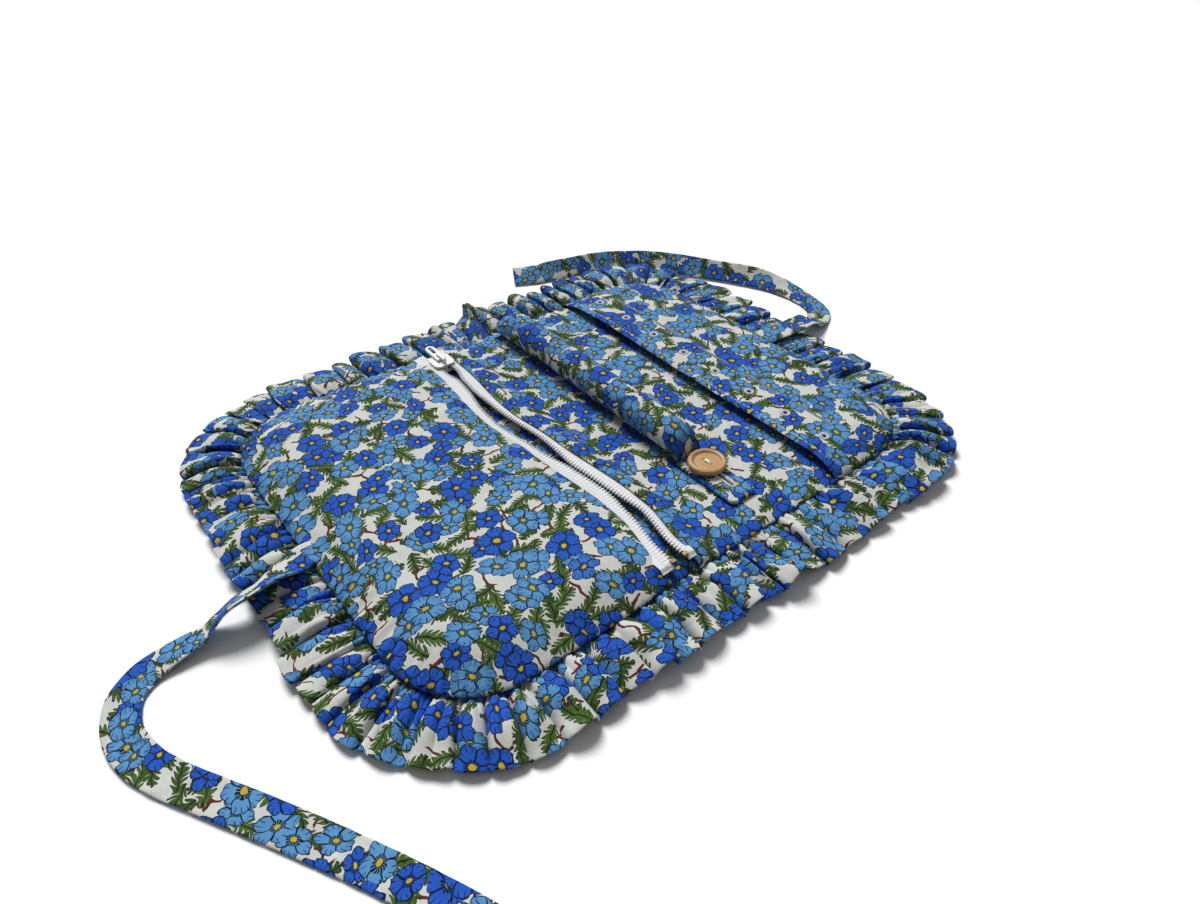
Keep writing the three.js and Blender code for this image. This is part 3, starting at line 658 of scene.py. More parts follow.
def turned_wood(tree, centre):
    """Light turned wood with straight grain, fine pores and faint rings from the lathe."""
    place = object_place(tree)
    x, y, z = components(place)
    along, across = x * 0.66 - y * 0.75, x * 0.75 + y * 0.66
    drift = noise(place, 90.0, 2.0) * WOOD_DRIFT
    growth = abs(((across + z * 0.4 + drift) * (TAU / WOOD_RING_PITCH)).sin())
    streak = noise(vector(along * 90.0, across * 1500.0, z * 400.0), 1.0, 3.0)
    grain = growth * 0.45 + streak * 0.75
    pores = streak.ramp(0.66, 0.74)
    off_x, off_y = x - float(centre[0]), y - float(centre[1])
    rings = ((off_x * off_x + off_y * off_y) ** 0.5 * (TAU / LATHE_PITCH)).sin()
    colour = mixed(grain.ramp(0.25, 0.95), WOOD_LIGHT, WOOD_DARK)
    return {
        "Base Color": mixed(pores * 0.5, colour, WOOD_PORE),
        "Normal": bump(1 - pores, 0.05 * MM, 0.5, bump(rings, 0.02 * MM, 0.35)),
        "Roughness": grain * 0.12 + 0.36,
        "Coat Weight": 0.12,
        "Coat Roughness": 0.35,
    }


# Camera, floor and light
def add_camera():
    data = bpy.data.cameras.new("camera")
    data.lens = CAMERA_LENS
    data.sensor_width = CAMERA_SENSOR
    data.sensor_fit = "HORIZONTAL"
    data.clip_start = 0.01
    camera = bpy.data.objects.new("camera", data)
    camera.location = CAMERA_PLACE
    camera.rotation_euler = CAMERA_TURN
    bpy.context.scene.collection.objects.link(camera)
    bpy.context.scene.camera = camera


def pale_paper(tree):
    paper = noise(object_place(tree), 40.0, 4.0)
    return {"Base Color": mixed(paper, (0.90, 0.90, 0.90), (0.93, 0.93, 0.93)), "Roughness": 0.9}


def add_floor():
    half = np.array([-FLOOR_HALF, FLOOR_HALF])
    corners = joined(half[None, :], half[:, None], FLOOR_HEIGHT)
    floor = add_object("floor", lattice(corners, corners[..., :2]), new_material("pale_floor", pale_paper))


def add_world():
    """A white sky that the camera sees at full strength and that lights the object less."""
    world = bpy.data.worlds.new("studio")
    world.use_nodes = True
    tree = world.node_tree
    seen = Field(add_node(tree, "LightPath", {}).outputs["Is Camera Ray"])
    strength = seen * (1 - SKY_STRENGTH) + SKY_STRENGTH
    fill(tree.nodes["Background"], {"Color": (1.0, 1.0, 1.0, 1), "Strength": strength})
    bpy.context.scene.world = world


def add_sun():
    """A broad soft light, its direction from +X towards +Y and its height both in degrees."""
    data = bpy.data.lights.new("soft_key", "SUN")
    data.angle = math.radians(SUN_SPREAD)
    data.energy = SUN_STRENGTH
    lamp = bpy.data.objects.new("soft_key", data)
    lamp.rotation_euler = (0, math.radians(90 - SUN_ELEVATION), math.radians(SUN_AZIMUTH))
    bpy.context.scene.collection.objects.link(lamp)


add_camera()
add_floor()
add_world()
add_sun()
bpy.context.scene.view_settings.view_transform = "Standard"
bpy.context.scene.view_settings.exposure = PICTURE_EXPOSURE
bpy.context.scene.view_settings.gamma = PICTURE_GAMMA

COTTON = new_material("printed_cotton", printed_cotton)
WHITE_THREAD = new_material("white_thread", twisted_thread, (0.90, 0.90, 0.88))
FLAP_THREAD = new_material("flap_thread", twisted_thread, (0.64, 0.68, 0.71))
ZIP_TAPE = new_material("zip_tape", zip_tape_weave)
ZIP_COIL = new_material("zip_coil", moulded_plastic, (0.80, 0.80, 0.81), 0.42)
WHITE_PLASTIC = new_material("white_plastic", moulded_plastic, (0.80, 0.80, 0.79), 0.3)
BRASS = new_material("brass", aged_brass)


# Ties: folded ribbons, their routes measured outward from the seam and along Y, in millimetres
TIE_NEAR_ROUTE = [
    (-2.4, 0), (3, 0), (13, -4), (24, -9), (34, -11), (47, -11), (62, -11), (76, -13), (87, -21), (92, -36),
    (90, -52), (84, -66), (77, -78), (64, -100), (52, -121), (40, -143), (30, -163), (23, -178), (18, -194),
    (15, -213),
]
TIE_FAR_ROUTE = [
    (-2.4, 0), (3, 0), (11, -1), (22, -2), (34, -2), (47, -1), (55, 2), (63, 8), (68, 19), (69, 35), (65, 54),
    (55, 74), (41, 98), (31, 115), (19, 131), (4, 144), (-12, 153), (-28, 158), (-44, 163), (-58, 168),
    (-71, 175),
]
TIE_OVER_FRILL = 9.2 * MM
TIE_ON_FLOOR = 1.0 * MM
TIE_DROP_START = HALF_LENGTH + FRILL_DEPTH + 2 * MM
TIE_DROP_END = TIE_DROP_START + 20 * MM
TIE_CUP = 0.5 * MM
TIE_CRUMPLE = 0.25 * MM
TIE_SECTION = np.array([-1, -0.985, -0.93, -0.8, -0.5, 0, 0.5, 0.8, 0.93, 0.985, 1])
TIE_PLUMPNESS = np.array([0.2, 0.62, 0.92, 1, 0.9, 0.86, 0.9, 1, 0.92, 0.62, 0.2])
TIE_NEAR_TIP = -math.radians(34)
TIE_FAR_TIP = math.radians(40)
PRINT_UNDER_TIE = np.array([0.07, 0.05])


def smooth_curve(points, step):
    """A Catmull-Rom curve through the points, sampled about a step apart."""
    p = np.asarray(points, float)
    p = np.concatenate([[2 * p[0] - p[1]], p, [2 * p[-1] - p[-2]]])
    curve = []
    for a, b, c, d in zip(p, p[1:], p[2:], p[3:]):
        count = max(2, int(np.linalg.norm(c - b) / step))
        t = np.arange(count)[:, None] / count
        bend = (2 * a - 5 * b + 4 * c - d) * t**2 + (3 * b - a - 3 * c + d) * t**3
        curve.append(0.5 * (2 * b + (c - a) * t + bend))
    return np.concatenate([*curve, p[-2:-1]])


def tie_path(end, route):
    points = [(end * (HALF_LENGTH + out * MM), y * MM, 0) for out, y in route]
    path = smooth_curve(points, 1.2 * MM)
    over_frill = np.abs(path[:, 1]) < HALF_WIDTH / 2
    drop = smoothstep(TIE_DROP_START, TIE_DROP_END, np.abs(path[:, 0]))
    falling = TIE_OVER_FRILL + (TIE_ON_FLOOR - TIE_OVER_FRILL) * drop
    path[:, 2] = np.where(over_frill, falling, TIE_ON_FLOOR)
    return path


def ribbon(path, lean, cloth_start):
    """A folded ribbon and its middle line. Lean is how far it tips about its own line, in radians."""
    side, over = frames_along(path, (0, 0, 1))
    along = lengths_along(path)
    half_width = (TIE_WIDTH / 2) * (1 + 0.02 * wander(along, 14 * MM, 5))
    across = TIE_SECTION[None, :] * half_width[:, None]
    cup = TIE_CUP * wander(along, 40 * MM, 8)[:, None]
    sag = cup * (TIE_SECTION[None, :] ** 2 - 0.4) + TIE_CRUMPLE * ripple(along[:, None], across, 11 * MM, 3)
    sine, cosine = np.sin(lean)[:, None], np.cos(lean)[:, None]
    out = across * cosine - sag * sine
    rise = across * sine + sag * cosine + np.abs(across * sine).max(axis=1)[:, None]
    middle = path[:, None] + side[:, None] * out[..., None] + over[:, None] * rise[..., None]
    face = side[:, None] * -sine[..., None] + over[:, None] * cosine[..., None]
    half = face * (TIE_PLUMPNESS * TIE_THICKNESS / 2)[None, :, None]
    top, bottom = middle + half, middle - half
    bottom[..., 2] = np.maximum(bottom[..., 2], THINNEST)
    top[..., 2] = np.maximum(top[..., 2], bottom[..., 2] + THINNEST)
    cloth = joined(along[:, None] + cloth_start, across)
    return closed_sheet(top, bottom, cloth, cloth + PRINT_UNDER_TIE), middle.mean(axis=1)


def cotton_piece(name, part, *replaced, smooth_angle=50):
    piece = add_object(name, part, COTTON, smooth_angle)
    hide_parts(*replaced)
    return piece


def add_tie(name, node, end, route, body, lean, cloth_start):
    """Adds a tie and returns points along its route."""
    path = tie_path(end, route)
    part, centre = ribbon(path, lean(lengths_along(path)), cloth_start)
    tie = cotton_piece(name, part, node)
    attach(tie, body)
    return path[::3]


def near_lean(along):
    """The near tie lies flat on the seam, tips on its edge where it leaves the frill and lies flat again."""
    return TIE_NEAR_TIP * plateau(along, 8 * MM, 30 * MM, 38 * MM, 90 * MM)


def far_lean(along):
    """The far tie turns flat round the frill and then leans against its far corner."""
    less = 0.35 * smoothstep(270 * MM, 306 * MM, along)
    return TIE_FAR_TIP * smoothstep(80 * MM, 140 * MM, along) * (1 - less)


near_line = add_tie(
    "tie_near_ribbon", "tie_near", -1, TIE_NEAR_ROUTE, "near_half", near_lean, 0.31
)
far_line = add_tie("tie_far_ribbon", "tie_far", 1, TIE_FAR_ROUTE, "far_half", far_lean, 0.83)
tie_lines = {-1: near_line, 1: far_line}


# The seam all round, and the stuffed pieces whose cloth is gathered into it
def seam_frame(x, y):
    """How far inside the seam a place lies, the outward direction there and the distance along the seam."""
    past_x, past_y = np.abs(x) - STRAIGHT_X, np.abs(y) - STRAIGHT_Y
    corner = (past_x > 0) & (past_y > 0)
    reach = np.hypot(past_x, past_y) + 1e-9
    to_end, to_side = CORNER_RADIUS - past_x, CORNER_RADIUS - past_y
    by_end = ~corner & (to_end < to_side)
    inside = np.where(corner, CORNER_RADIUS - reach, np.minimum(to_end, to_side))
    out_x = np.where(corner, past_x / reach, by_end * 1.0) * np.sign(x)
    out_y = np.where(corner, past_y / reach, ~by_end * 1.0) * np.sign(y)
    round_corner = STRAIGHT_X + CORNER_MIDDLE * np.arctan2(np.maximum(past_x, 0), np.maximum(past_y, 1e-9))
    past_corner = CORNER_END + STRAIGHT_Y - np.abs(y)
    along = np.where(corner, round_corner, np.where(by_end, past_corner, np.abs(x)))
    along = np.where(np.sign(y) < 0, FRILL_LENGTH - along, along)
    return np.maximum(inside, 0), out_x, out_y, along


def seam_reach(y):
    """How far along X the seam lies at a place along Y."""
    past = np.maximum(np.abs(y) - STRAIGHT_Y, 0)
    return STRAIGHT_X + np.sqrt(np.maximum(CORNER_RADIUS**2 - past**2, 0))


def puff(inside, width):
    """How much of its full height a stuffed edge has at a distance inside the seam."""
    t = 1 - np.minimum(inside / width, 1)
    return (1 - t**PUFF_ROUNDNESS) ** PUFF_STEEPNESS


def swell(inside, most):
    """How far a stuffed side bulges outward over its seam, at a distance inside it."""
    share = inside / SWELL_AT
    return most * share * np.exp(1 - share)


def puckered(inside, along, seed):
    """Small gathers that run inward from the seam and fade."""
    phase = TAU * (along + 1.8 * MM * wander(along, 9 * MM, seed)) / PUCKER_PITCH
    strength = 0.65 + 0.35 * wander(along, 15 * MM, seed + 1)
    reach = PUCKER_REACH * (1 + 0.5 * wander(along, 11 * MM, seed + 2))
    fade = bell(inside, 0, reach) * np.minimum(inside / PUCKER_START, 1)
    return PUCKER_HEIGHT * strength * np.cos(phase) * fade


def rolled(inside, radius):
    """The share of its thickness that a rolled edge keeps at a distance inside it."""
    return EDGE_HALF + (1 - EDGE_HALF) * rounded(inside, radius)


def packed_towards_ends(count, power=1.5):
    """Shares from -1 to 1 that lie closer together at both ends."""
    t = np.linspace(-1, 1, count)
    return np.sign(t) * (1 - (1 - np.abs(t)) ** power)


def rows_across(count):
    return (packed_towards_ends(count) * HALF_WIDTH)[:, None]


def panel_grid(side, edge, rows, columns):
    """A grid of places from the seam at one end of the pouch to a straight edge across it."""
    y = rows_across(rows)
    share = np.linspace(0, 1, columns)[None, :] ** 1.45
    start = side * seam_reach(y)
    return np.broadcast_arrays(start + (edge - start) * share, y)


class Stuffed:
    """A grid of places on a stuffed piece, with the puckers that run in from its seam."""

    def __init__(self, x, y, seed):
        self.x, self.y = x, y
        self.inside, self.out_x, self.out_y, along = seam_frame(x, y)
        self.pucker = puckered(self.inside, along, seed)

    def height(self, full, width):
        """The height of a surface that rises from the seam to its full height within a width."""
        return SEAM_TOP + (full - SEAM_TOP) * puff(self.inside, width)

    def cloth(self, width, rise, most=0.0):
        """The place on the flat cloth, let out by the extra length that the stuffed edge takes up."""
        d = width * np.linspace(0, 1, 400) ** 2
        height = rise * puff(d, width)
        steps = np.hypot(np.diff(d - swell(d, most)), np.diff(height)) - np.diff(d)
        extra = np.concatenate([np.cumsum(steps[::-1])[::-1], [0]])
        more = np.interp(self.inside, d, extra)
        return joined(self.x + self.out_x * more, self.y + self.out_y * more)

    def sheet(self, upper, lower, most, cloth, cloth_under=None):
        """The closed piece between two heights, its upper side bulging outward over the seam."""
        shift = swell(self.inside, most) + PUCKER_OUT * self.pucker
        top = joined(self.x + self.out_x * shift, self.y + self.out_y * shift, upper)
        return closed_sheet(top, joined(self.x, self.y, lower), cloth, cloth_under)


# Padded base of each half, from its seam to the middle of the spine
PAD_NEAR_SINK = 0.1 * MM
PAD_WRINKLE = 0.3 * MM
PAD_THINNEST = 0.3 * MM
PRINT_UNDER_PAD = 0.4


def pad_part(side, crest):
    """A padded half. Crest is the extra height of its top at each place."""
    x, y = panel_grid(side, 0.0, 150, 110)
    pad = Stuffed(x, y, 40)
    bottom = SEAM_BOTTOM - (SEAM_BOTTOM - UNDERSIDE) * puff(pad.inside, UNDER_PUFF)
    top = pad.height(PAD_TOP + crest(x, y), FAR_PUFF) + pad.pucker
    top = np.maximum(top, bottom + PAD_THINNEST)
    most = PAD_SWELL if side > 0 else 0
    cloth = pad.cloth(FAR_PUFF, PAD_TOP - SEAM_HEIGHT, most)
    under = pad.cloth(UNDER_PUFF, SEAM_HEIGHT) * np.array([-1, 1]) + PRINT_UNDER_PAD
    return pad.sheet(top, bottom, most, cloth, under)


def near_crest(x, y):
    """The near half lies a little lower, under its pocket."""
    return -PAD_NEAR_SINK


def far_crest(x, y):
    """The far half swells a little at the middle of the spine, and wrinkles where nothing lies on it."""
    bar_low, bar_high = box("bar_cover")
    past_bar = smoothstep(bar_high[0], bar_high[0] + 8 * MM, x)
    before_bar = 1 - smoothstep(bar_low[0] - 6 * MM, bar_low[0], x)
    past_tab = 1 - smoothstep(-100 * MM, -92 * MM, y)
    clear = np.maximum(past_bar + before_bar, past_tab)
    rise = (CREST_AT_MIDDLE - PAD_TOP) * (1 - smoothstep(0, 14 * MM, x))
    return rise + clear * PAD_WRINKLE * (0.4 + ripple(x, y, 34 * MM, 21)) * smoothstep(0, 8 * MM, x)


near_layers = ("cover_near", "wadding_near", "lining_near", "cover_spine", "wadding_spine", "lining_spine")
pad_near = cotton_piece("pad_near", pad_part(-1, near_crest), *near_layers)
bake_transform(pad_near)
pad_far = cotton_piece("pad_far", pad_part(1, far_crest), "cover_far", "wadding_far", "lining_far")
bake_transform(pad_far)


# The line of the zip, which the soft mouth lets wander
def zip_sway(y):
    """How far the zip's mouth lies from a straight line, towards the spine."""
    outward = plateau(y, -8 * MM, 30 * MM, 34 * MM, 84 * MM)
    inward = plateau(y, -102 * MM, -72 * MM, -62 * MM, -4 * MM)
    return ZIP_SWAY_IN * inward - ZIP_SWAY_OUT * outward


# Pocket: the stuffed upper panel, from the seam to its turned edge along the zip
POCKET_PADDING = 2.0 * MM
POCKET_HEM = 1.2 * MM
POCKET_ROLL = 0.9 * MM
POCKET_ROWS = 170


def pocket_part():
    edge = PANEL_EDGE + zip_sway(rows_across(POCKET_ROWS))
    x, y = panel_grid(-1, edge, POCKET_ROWS, 100)
    panel = Stuffed(x, y, 60)
    to_edge = edge - x
    across = 2 * (x + seam_reach(y)) / (edge + seam_reach(y)) - 1
    crown = (1 - across**4) * (1 - (y / HALF_WIDTH) ** 6)
    full = ZIP_EDGE_HEIGHT - 0.2 * MM + (PANEL_CROWN - ZIP_EDGE_HEIGHT) * crown
    full += 0.28 * MM * ripple(x, y, 38 * MM, 4) + 0.1 * MM * ripple(x, y, 15 * MM, 5)
    top = panel.height(full, POCKET_PUFF) + panel.pucker
    thick = CLOTH_EDGE + POCKET_PADDING * smoothstep(0, 12 * MM, panel.inside)
    hem = POCKET_HEM + (thick - POCKET_HEM) * smoothstep(5 * MM, 12 * MM, to_edge)
    thick = np.minimum(thick, hem)
    middle, half = top - thick / 2, thick / 2 * rolled(to_edge, POCKET_ROLL)
    upper = middle + half
    floor = panel.height(PAD_TOP, FAR_PUFF)
    lower = np.maximum(middle - half, np.minimum(floor, upper - THINNEST))
    most = POCKET_SWELL - (POCKET_SWELL - PAD_SWELL) * (1 - smoothstep(0, 26 * MM, to_edge))
    cloth = panel.cloth(POCKET_PUFF, ZIP_EDGE_HEIGHT - SEAM_HEIGHT, POCKET_SWELL)
    return panel.sheet(upper, lower, most, cloth)


pocket = cotton_piece("pocket_cloth", pocket_part(), "pocket_panel")
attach(pocket, "near_half")


# Filled ridge on the spine's side of the zip, falling to the middle of the spine
RIDGE_HEM = 1.2 * MM
RIDGE_ROLL = 0.7 * MM
RIDGE_WRINKLE = 0.25 * MM


def ridge_part():
    y = rows_across(150)
    t = np.linspace(0, 1, 30)[None, :]
    edge, web = HEM_EDGE + zip_sway(y), HEM_WEB + zip_sway(y)
    x, y = np.broadcast_arrays(edge * (1 - t) ** 1.25, y)
    ridge = Stuffed(x, y, 40)
    rise = 1 - smoothstep(0, 1, (x - web) / (-0.2 * MM - web))
    full = CREST_AT_MIDDLE + (ZIP_EDGE_HEIGHT - CREST_AT_MIDDLE) * rise
    full += RIDGE_WRINKLE * ripple(x, y, 30 * MM, 12) * smoothstep(0, -6 * MM, x)
    top = ridge.height(full, FAR_PUFF) + ridge.pucker
    over_tape = 1 - smoothstep(-2.2 * MM, -1.6 * MM, x - web)
    floor = ridge.height(PAD_TOP, FAR_PUFF)
    under = floor + (np.maximum(top - RIDGE_HEM, floor) - floor) * over_tape
    middle, half = (top + under) / 2, (top - under) / 2
    half = np.where(over_tape > 0.5, half * rolled(x - edge, RIDGE_ROLL), half)
    cloth = ridge.cloth(FAR_PUFF, PAD_TOP - SEAM_HEIGHT, PAD_SWELL)
    return ridge.sheet(middle + half, middle - half, PAD_SWELL, cloth)


ridge = cotton_piece("zip_ridge", ridge_part(), "zip_hem")
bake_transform(ridge)


# Frill: a gathered strip; each random curve along it has a pitch, a number for its seed and a strength
FOLD_CROWDING = (36 * MM, 0, 2.3)
FOLD_UNEVEN = (15 * MM, 10, 0.75)
TILE_UNEVEN = (29 * MM, 15, 1.6)
FOLD_TIGHTNESS = (21 * MM, 2, 0.1)
FOLD_TALLER = (17 * MM, 1, 0.34)
STRETCH_TALLER = (64 * MM, 9, 0.24)
TILE_TALLER = (23 * MM, 16, 0.3)
FOLD_LEAN = (43 * MM, 3, 1.4)
FOLD_SLANT = (52 * MM, 8, 5 * MM)
CREST_FLATTER = (17 * MM, 12, 0.15)
GATHER_CROWDING = (10 * MM, 4, 2.2)
GATHER_TALLER = (6 * MM, 5, 0.35)
GATHER_LONGER = (7 * MM, 11, 0.3)
PLEAT_CROWDING = (17 * MM, 17, 2.4)
HEM_WAVE = (14 * MM, 6, 1.0)
HEM_SHORT_WAVE = (17 * MM, 7, 0.05)
HEM_LONG_WAVE = (41 * MM, 14, 0.06)
WRINKLE_SEED = 13
SEEDS = {-1: 100, 1: 200}
PRINT_SHIFT = 0.13


def seam_point(along, end):
    """The seam's point and outward direction at a distance along the frill's middle line."""
    back = along > FRILL_LENGTH / 2
    near = np.where(back, FRILL_LENGTH - along, along)
    side = np.where(back, -1.0, 1.0)
    turn = np.clip((near - STRAIGHT_X) / CORNER_MIDDLE, 0, math.pi / 2)
    out_x, out_y = end * np.sin(turn), side * np.cos(turn)
    past = np.maximum(near - CORNER_END, 0)
    x = end * np.minimum(near, STRAIGHT_X) + CORNER_RADIUS * out_x
    y = side * (STRAIGHT_Y - past) + CORNER_RADIUS * out_y
    return x, y, out_x, out_y


def pressed(x, y, z, line):
    """The height of a frill that a tie along a line holds down."""
    away = np.full(x.shape, 1.0)
    for place in line:
        away = np.minimum(away, np.hypot(x - place[0], y - place[1]))
    return np.minimum(z, FRILL_UNDER_TIE + np.maximum(0, away - TIE_WIDTH / 2))


def frill_part(end):
    """One end's frill and its flat length. Along runs round the seam and share from the seam to the hem."""
    seed = SEEDS[end]
    along = np.linspace(0, FRILL_LENGTH, int(FRILL_LENGTH / FRILL_STEP))
    share = np.concatenate([np.linspace(0, 1, 26) ** 1.25, [1.012, 1.018]])[:, None]
    near = np.minimum(along, FRILL_LENGTH - along)
    lively = smoothstep(0, 6 * MM, near)
    spread = smoothstep(-0.14, 0.44, share)

    def drift(curve, places=along):
        pitch, number, strength = curve
        return strength * wander(places, pitch, seed + number)

    # Where the folds overlap like tiles, and where the frill goes round a corner
    if end > 0:
        tiles = smoothstep(STRAIGHT_X + 0.3 * CORNER_ARC, STRAIGHT_X + 0.8 * CORNER_ARC, near)
    else:
        tiles = lively * (1 - smoothstep(STRAIGHT_X - 10 * MM, CORNER_END, along))
    corner = plateau(near - STRAIGHT_X, -10 * MM, 14 * MM, CORNER_ARC - 14 * MM, CORNER_ARC + 10 * MM)

    # The folds' turn, their height, and how far they roll under, lean over and slant
    crowding = lively * (drift(FOLD_CROWDING) + drift(FOLD_UNEVEN))
    phase = TAU * along / FRILL_FOLD_PITCH - math.pi / 2 + crowding
    phase = phase + tiles * drift(TILE_UNEVEN) - TILES_FEWER[end] * TAU * np.cumsum(tiles) / np.sum(tiles)
    rate = np.maximum(np.gradient(phase, along), 0.25 / MM)
    fold = np.cos(phase)
    tall = 1 + lively * (drift(FOLD_TALLER) + drift(STRETCH_TALLER)) + tiles * drift(TILE_TALLER)
    tall = np.clip(FRILL_FULLNESS * tall / rate, FRILL_SHORTEST, FRILL_TALLEST)
    tall = tall * (1 - TILES_FLATTER[end] * tiles) * (1 - (0.32 + 0.26 * corner) * smoothstep(0.5, 1, share))
    tight = lively * np.clip(0.92 + drift(FOLD_TIGHTNESS), 0, 0.97)
    lean = lively * (TILE_LEAN * tiles + (1 - TILES_STEADIER * tiles) * drift(FOLD_LEAN))
    sideways = spread * (tight / rate * np.sin(phase) + lean * tall * fold)
    slant = lively * drift(FOLD_SLANT, along + sideways)
    if end < 0:
        slant = slant + NEAR_SLANT * bell(along + sideways, FRILL_LENGTH / 2 - NEAR_SLANT_Y, NEAR_SLANT_REACH)
    sideways = sideways + slant * share

    # Height of the folds, the gathers at the seam, wrinkles, small pleats and the lifted hem
    middle = FRILL_ROOT_HEIGHT + (FRILL_LOWEST + tall - FRILL_ROOT_HEIGHT) * spread
    flat = lively * (0.19 + drift(CREST_FLATTER)) * (1 - np.cos(2 * phase))
    z = middle + FRILL_LOFT * np.sin(math.pi * np.minimum(share, 1)) + tall * (fold + flat) * spread
    gathers = cusps(TAU * along / GATHER_PITCH + drift(GATHER_CROWDING), 0.7, 1.25)
    fade = (1 - smoothstep(0.08, 0.68 + drift(GATHER_LONGER), share)) * smoothstep(-0.03, 0.05, share)
    z = z + GATHER_HEIGHT * gathers * (0.75 + drift(GATHER_TALLER)) * fade
    wrinkles = ripple(along, 0.3 * FRILL_DEPTH * share, WRINKLE_PITCH, seed + WRINKLE_SEED)
    z = z + WRINKLE_HEIGHT * lively * wrinkles * smoothstep(0.1, 0.35, share)
    pleats = cusps(TAU * along / PLEAT_PITCH + drift(PLEAT_CROWDING), 0.75, 1.27)
    fade = smoothstep(0.08, 0.3, share) * (1 - 0.5 * smoothstep(0.6, 1, share))
    z = z + PLEAT_HEIGHT * lively * (0.3 + 0.7 * corner) * pleats * fade
    z = z + HEM_LIFT * np.maximum(0, drift(HEM_WAVE)) * smoothstep(0.7, 1, share)

    # The far frill's upright horn and open mouth by the spine, and the tuck at its end
    if end > 0:
        place = along + sideways
        horn = bell(place, HORN_PLACE, HORN_WIDTH) * smoothstep(0.35, 1, share)
        mouth = bell(place, FRILL_LENGTH - MOUTH_BEFORE_SPINE, MOUTH_WIDTH) * smoothstep(0.45, 1, share)
        tuck = bell(place, FRILL_LENGTH / 2 - TUCK_Y, TUCK_WIDTH) * smoothstep(0, 0.2, share)
        z = z + HORN_HEIGHT * horn + MOUTH_HEIGHT * mouth + TUCK_HEIGHT * tuck
        sideways = sideways - HORN_LEAN * horn - MOUTH_LEAN * mouth

    # How far out the cloth lies: the hem is scalloped and uneven, and the tiles have pointed corners
    uneven = lively * (drift(HEM_SHORT_WAVE) + drift(HEM_LONG_WAVE))
    point = FRILL_CORNER * TILE_LEAN * tiles * np.sin(phase)
    depth = FRILL_DEPTH * (1 + uneven) + (point - FRILL_SCALLOP * (1 - fold) / 2) * spread
    out = FRILL_ROOT + (depth - FRILL_ROOT) * share
    x, y, out_x, out_y = seam_point(np.clip(along + sideways, 0, FRILL_LENGTH), end)
    x, y = x + out_x * out, y + out_y * out
    points = joined(x, y, pressed(x, y, np.maximum(z, FRILL_LOWEST), tie_lines[end]))
    cloth = joined(lengths_along(points[-3])[None, :] + PRINT_SHIFT * seed, share * FRILL_DEPTH)
    thickness = FRILL_CLOTH * np.where(share > 1.015, 0.25, np.where(share > 1.0, 0.75, 1.0))
    row_lengths = [lengths_along(row)[-1] for row in points[2:-2]]
    return rolled_sheet(points, thickness, cloth), float(np.mean(row_lengths))


for side_name, end in (("near", -1), ("far", 1)):
    part, cut_length = frill_part(end)
    nodes = (f"frill_{side_name}", "frill_spine_left" if end < 0 else "frill_spine_right")
    frill = cotton_piece(f"frill_{side_name}_cloth", part, *nodes, smooth_angle=80)
    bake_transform(frill)


# CAD pieces that stay: their edges broken and a finish put on
def dress(node, material, edge):
    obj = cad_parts[node]
    obj.data.materials.clear()
    obj.data.materials.append(material)
    bevel = obj.modifiers.new("broken_edges", "BEVEL")
    bevel.width = edge
    bevel.segments = 3
    bevel.limit_method = "ANGLE"
    bevel.angle_limit = math.radians(35)
    bevel.harden_normals = True


dress("slider_body", WHITE_PLASTIC, 0.22 * MM)
dress("puller", WHITE_PLASTIC, 0.3 * MM)
dress("bottom_stop", WHITE_PLASTIC, 0.5 * MM)
dress("top_stop_near", BRASS, 0.45 * MM)
dress("top_stop_far", BRASS, 0.45 * MM)


# Zip: two woven tapes with a nylon coil each, which touch in two places along the open mouth
def zip_bow(y):
    """How far each coil bends in towards the other, or away from it where the mouth gapes."""
    by_slider = plateau(y, 38 * MM, 62 * MM, 72 * MM, 84 * MM)
    halfway = plateau(y, -76 * MM, -54 * MM, -30 * MM, -10 * MM)
    gape = plateau(y, -16 * MM, 8 * MM, 18 * MM, 42 * MM)
    return ZIP_BOW * (by_slider + halfway) - ZIP_GAPE * gape


def tape_part(side, node):
    low, high = box(node)
    outer, inner = (low[0], high[0]) if side < 0 else (high[0], low[0])
    y = np.linspace(low[1], high[1], 820)[:, None]
    share = np.linspace(0, 1, 14)[None, :]
    x = outer + (inner - side * (zip_bow(y) + TAPE_UNDER_COIL) - outer) * share + zip_sway(y)
    drop = (high[2] - TAPE_CLOTH - low[2]) * smoothstep(high[1] - 2.5 * MM, high[1], np.abs(y))
    shown = smoothstep(0.35, 0.55, share) if side < 0 else smoothstep(0.3, 0.6, share)
    plump = TAPE_PLUMP * shown * np.sqrt(np.maximum(0, 1 - ((share - 0.76) / 0.36) ** 2))
    ribs = np.cos(TAU * (y - low[1]) / COIL_PITCH + math.pi * share) * smoothstep(0.5, 0.62, share)
    top = high[2] - drop + plump + TAPE_RIB * ribs
    bottom = high[2] - TAPE_CLOTH - drop
    edge = np.minimum(1, np.minimum(share, 1 - share) / 0.08)
    middle, half = (top + bottom) / 2, (top - bottom) / 2 * (0.3 + 0.7 * edge)
    cloth = joined(share * abs(inner - outer), y)
    return closed_sheet(joined(x, y, middle + half), joined(x, y, middle - half), cloth)


